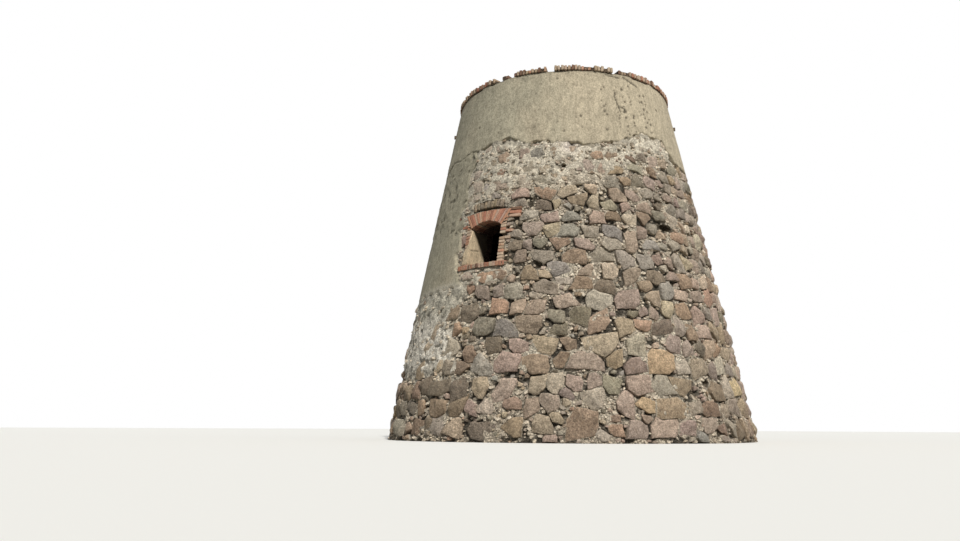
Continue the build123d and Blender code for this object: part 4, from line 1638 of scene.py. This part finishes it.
class Recipe:
    """The nodes of a material or of the world, with short ways to add to them."""

    def __init__(self, tree):
        self.nodes = tree.nodes
        self.links = tree.links
        self.shader = tree.nodes.get("Principled BSDF")

    def add(self, kind, **settings):
        """A new node with its settings."""
        made = self.nodes.new(f"ShaderNode{kind}")
        for name, value in settings.items():
            setattr(made, name, value)
        return made

    def feed(self, *pairs):
        """Links each socket to another one, or sets its number or colour."""
        for socket, value in pairs:
            if isinstance(value, bpy.types.NodeSocket):
                self.links.new(value, socket)
            else:
                socket.default_value = (*value, 1) if np.ndim(value) else value

    def set(self, node, **values):
        """Feeds the named inputs of a node."""
        self.feed(*((node.inputs[name], value) for name, value in values.items()))

    def where(self):
        """The place in the object's own metres."""
        return self.add("TexCoord").outputs["Object"]

    def noise(self, scale, detail, roughness=0.7, distortion=0.0):
        """Noise of a scale, which may differ from axis to axis."""
        where = self.where()
        if np.ndim(scale):
            mapping = self.add("Mapping")
            mapping.inputs["Scale"].default_value = scale
            self.set(mapping, Vector=where)
            where = mapping.outputs["Vector"]
            scale = 1
        made = self.add("TexNoise")
        self.set(made, Vector=where, Scale=scale, Detail=detail, Roughness=roughness, Distortion=distortion)
        return made.outputs["Fac"]

    def ramp(self, source, *stops):
        """A ColorRamp over stops, each a place and a grey or colour."""
        made = self.add("ValToRGB")
        elements = made.color_ramp.elements
        elements.remove(elements[1])
        for index, (at, value) in enumerate(stops):
            element = elements[0] if index == 0 else elements.new(at)
            element.position = at
            element.color = (*value, 1) if np.ndim(value) else (value, value, value, 1)
        self.set(made, Fac=source)
        return made.outputs["Color"]

    def mixed(self, kind, factor, first, second):
        """Two colours mixed; each input is a socket or a value."""
        made = self.add("Mix", data_type="RGBA", blend_type=kind)
        self.feed((made.inputs[0], factor), (made.inputs[6], first), (made.inputs[7], second))
        return made.outputs[2]

    def calculated(self, operation, first, second):
        """Two numbers put together by a Math node."""
        made = self.add("Math", operation=operation)
        self.feed((made.inputs[0], first), (made.inputs[1], second))
        return made.outputs[0]

    def tint(self):
        """The mesh's own colour."""
        return self.add("Attribute", attribute_name="tint").outputs["Color"]

    def smear(self):
        """How much mortar the mesh has on it."""
        return self.add("Attribute", attribute_name="smear").outputs["Fac"]

    def bump(self, height, distance, normal=None):
        """Relief of a height in metres, on top of another one."""
        made = self.add("Bump")
        self.set(made, Strength=1.0, Distance=distance, Height=height)
        if normal is not None:
            self.set(made, Normal=normal)
        return made.outputs["Normal"]

    def mottled(self, body, blotches, detail, roughness=0.7):
        """A colour with darker and lighter blotches, each given by its scale, its least and its most."""
        for scale, low, high in blotches:
            tone = self.ramp(self.noise(scale, detail, roughness), (0.31, low), (0.5, 1.0), (0.69, high))
            body = self.mixed("MULTIPLY", 1.0, body, tone)
        return body

    def spotted(self, body, spots, start, end, most, tint):
        """A colour with spots of another one, where a noise goes from start to end."""
        return self.mixed("MIX", self.ramp(self.noise(*spots), (start, 0.0), (end, most)), body, tint)

    def limed(self, body, low, high):
        """A colour with films of old mortar over it, by the mesh's smear."""
        film = self.calculated("ADD", self.smear(), self.noise(24, 6, 0.7, 0.5))
        lime = self.ramp(self.noise(60, 4), (0.3, low), (0.7, high))
        return self.mixed("MIX", self.ramp(film, (0.86, 0.0), (0.98, 0.85)), body, lime)

    def finish(self, body, reliefs, normal=None):
        """Gives the shader its colour, and relief from layers of noise, each with its height first."""
        for distance, *grain in reliefs:
            normal = self.bump(self.noise(*grain), distance, normal)
        self.links.new(body, self.shader.inputs["Base Color"])
        if normal is not None:
            self.links.new(normal, self.shader.inputs["Normal"])


def new_material(name, roughness):
    """A new material with a rough, dull shader, and its recipe."""
    material = bpy.data.materials.new(name)
    material.use_nodes = True
    recipe = Recipe(material.node_tree)
    recipe.shader.inputs["Specular IOR Level"].default_value = 0.25
    recipe.shader.inputs["Roughness"].default_value = roughness
    return material, recipe


def stone_material():
    """Split granite: mottled and speckled, with mortar on its edges."""
    material, recipe = new_material("fieldstone", 0.9)
    body = recipe.mottled(recipe.tint(), ((7, 0.68, 1.28), (19, 0.62, 1.36), (42, 0.56, 1.46)), 5)
    body = recipe.spotted(body, (16, 5, 0.7, 0.8), 0.54, 0.70, 0.35, colour(132, 104, 76))
    body = recipe.spotted(body, (27, 5, 0.72, 0.6), 0.58, 0.68, 0.65, colour(74, 67, 56))
    body = recipe.limed(body, colour(184, 172, 152), colour(226, 215, 196))
    recipe.finish(body, ((0.060, 12, 8, 0.66), (0.028, 38, 6)))
    return material


def rubble_of(recipe, feature, output):
    """Angular cells with bent sides: how near their edge is, or a random colour for each."""
    where = recipe.where()
    bend = recipe.add("TexNoise")
    recipe.set(bend, Scale=14, Vector=where)
    bent = recipe.add("VectorMath", operation="MULTIPLY_ADD")
    bent.inputs[1].default_value = (0.07, 0.07, 0.07)
    recipe.feed((bent.inputs[0], bend.outputs["Color"]), (bent.inputs[2], where))
    cells = recipe.add("TexVoronoi", feature=feature)
    recipe.set(cells, Scale=17, Vector=bent.outputs[0])
    return cells.outputs[output]


def mortar_material():
    """Old lime mortar full of stone chips, with dark gaps between them."""
    material, recipe = new_material("lime_mortar", 0.95)
    body = recipe.mottled(recipe.tint(), ((5, 0.78, 1.14), (30, 0.62, 1.30), (90, 0.75, 1.20)), 6, 0.72)
    chips = recipe.ramp(rubble_of(recipe, "F1", "Color"), (0.2, 0.70), (0.8, 1.28))
    body = recipe.mixed("MULTIPLY", 0.8, body, chips)
    near = rubble_of(recipe, "DISTANCE_TO_EDGE", "Distance")
    edges = recipe.ramp(near, (0.0, 0.30), (0.05, 0.55), (0.12, 1.0))
    loose = recipe.ramp(recipe.smear(), (0.0, 0.9), (1.0, 0.15))
    body = recipe.mixed("MULTIPLY", loose, body, edges)
    lumps = recipe.bump(recipe.ramp(near, (0.0, 0.0), (0.18, 1.0)), 0.016)
    recipe.finish(body, ((0.040, 16, 8, 0.74), (0.012, 55, 5, 0.75)), lumps)
    return material


def plaster_material():
    """Old lime render: streaked, stained, gritty and pitted."""
    material, recipe = new_material("lime_render", 0.95)
    streaks = (((5, 5, 4), 0.82, 1.10), ((16, 16, 6), 0.76, 1.18))
    grit = (((30, 30, 24), 0.64, 1.28), ((60, 60, 60), 0.70, 1.22))
    body = recipe.mottled(recipe.tint(), streaks + grit, 5)
    body = recipe.spotted(body, (25, 4, 0.75, 0.4), 0.62, 0.69, 0.60, colour(116, 101, 78))
    recipe.finish(body, ((0.014, 14, 8, 0.74), (0.008, 50, 5, 0.75)))
    return material


def brick_material():
    """Old hand-made brick: burnt, chipped and limed."""
    material, recipe = new_material("old_brick", 0.92)
    mottle = recipe.ramp(recipe.noise(20, 6), (0.3, 0.62), (0.5, 1.0), (0.72, 1.25))
    body = recipe.mixed("MULTIPLY", 1.0, recipe.tint(), mottle)
    body = recipe.spotted(body, (44, 5, 0.7, 0.5), 0.55, 0.70, 0.5, colour(88, 66, 54))
    body = recipe.limed(body, colour(176, 156, 134), colour(206, 190, 168))
    recipe.finish(body, ((0.014, 28, 7, 0.72), (0.004, 110, 4)))
    return material


def timber_material(name, stretch, tinted):
    """Weathered timber with its grain along one axis."""
    material, recipe = new_material(name, 0.85)
    base = recipe.tint() if tinted else colour(118, 102, 84)
    grain = recipe.ramp(recipe.noise(stretch, 8, 0.7, 0.3), (0.3, 0.5), (0.5, 0.95), (0.7, 1.25))
    stain = recipe.ramp(recipe.noise(4, 5, 0.65), (0.35, 0.7), (0.6, 1.05))
    body = recipe.mixed("MULTIPLY", 1.0, recipe.mixed("MULTIPLY", 1.0, base, grain), stain)
    recipe.finish(body, ((0.006, stretch, 8, 0.7, 0.3),))
    return material


# The stage

SUN_STRENGTH = 3.3
SUN_SOFTNESS = math.radians(3)
SUN_COLOUR = (1.0, 0.965, 0.90)
SUN_BEARING = CAMERA_BEARING + math.radians(24)
SUN_HEIGHT = math.radians(43)
SKY_STRENGTH = 0.26
SKY_COLOUR = (0.90, 0.95, 1.0)
FLOOR_REACH = 150


def make_camera():
    """The photograph's camera."""
    data = bpy.data.cameras.new("camera")
    data.sensor_width = SENSOR_WIDTH
    data.lens = SENSOR_WIDTH * CAMERA_FOCAL
    data.clip_end = 400
    camera = linked("camera", data)
    camera.location = around(CAMERA_BEARING, CAMERA_DISTANCE, CAMERA_HEIGHT)
    heading = CAMERA_BEARING + CAMERA_AXIS_OFFSET
    turn = Matrix.Rotation(heading, 4, "Z") @ Matrix.Rotation(math.pi / 2 + CAMERA_PITCH, 4, "X")
    turn = turn @ Matrix.Rotation(CAMERA_ROLL, 4, "Z")
    camera.rotation_euler = turn.to_euler()
    bpy.context.scene.camera = camera


def make_lights():
    """A soft sun from the upper right behind the camera."""
    data = bpy.data.lights.new("sun", "SUN")
    data.energy = SUN_STRENGTH
    data.angle = SUN_SOFTNESS
    data.color = SUN_COLOUR
    toward = Vector(around(SUN_BEARING, math.cos(SUN_HEIGHT), math.sin(SUN_HEIGHT)))
    linked("sun", data).rotation_euler = toward.to_track_quat("Z", "Y").to_euler()


def seen_directly(recipe):
    """1 for what the camera sees, also in a mirror or through glass."""
    path = recipe.add("LightPath").outputs
    seen = recipe.calculated("MAXIMUM", path["Is Camera Ray"], path["Is Glossy Ray"])
    return recipe.calculated("MAXIMUM", seen, path["Is Transmission Ray"])


def make_world():
    """A pale sky that lights the tower, and shows white behind it."""
    world = bpy.data.worlds.new("studio")
    bpy.context.scene.world = world
    world.use_nodes = True
    recipe = Recipe(world.node_tree)
    fill = recipe.nodes["Background"]
    white = recipe.add("Background")
    recipe.set(fill, Color=SKY_COLOUR, Strength=SKY_STRENGTH)
    recipe.set(white, Color=(1, 1, 1), Strength=1.0)
    blend = recipe.add("MixShader")
    recipe.feed(*zip(blend.inputs, (seen_directly(recipe), fill.outputs[0], white.outputs[0])))
    recipe.links.new(blend.outputs[0], recipe.nodes["World Output"].inputs["Surface"])


def make_floor():
    """A plain pale floor that throws back less light than it shows."""
    mesh = bpy.data.meshes.new("floor")
    corners = [(x * FLOOR_REACH, y * FLOOR_REACH, 0) for x, y in ((-1, -1), (1, -1), (1, 1), (-1, 1))]
    mesh.from_pydata(corners, [], [(0, 1, 2, 3)])
    floor = linked("floor", mesh)
    material, recipe = new_material("floor", 0.95)
    recipe.finish(recipe.mixed("MIX", seen_directly(recipe), (0.30, 0.29, 0.26), (0.90, 0.90, 0.88)), ())
    floor.location.z = -0.002
    mesh.materials.append(material)


def main():
    """Makes the whole scene round the frame."""
    bpy.context.scene.view_settings.view_transform = "Standard"
    make_camera()
    make_lights()
    make_world()
    make_floor()
    stone, mortar, plaster, brick = stone_material(), mortar_material(), plaster_material(), brick_material()
    build_walls(stone, mortar)
    build_upper_coat(plaster)
    build_left_coat(plaster)
    build_openings(brick, mortar)
    build_relieving_arch(mortar, stone)
    build_threshold(mortar, stone)
    build_stray_bricks(brick, mortar)
    build_reveal_render(plaster)
    build_crown(brick, mortar)
    build_floor_boards(timber_material("planks", (22, 1.2, 22), True))
    across = timber_material("joists", (1.2, 22, 22), False)
    for node in ("first_floor_joists", "second_floor_joists"):
        paint(node, across)
    paint("beam_ends", timber_material("beam_ends", (14, 14, 14), False))


main()
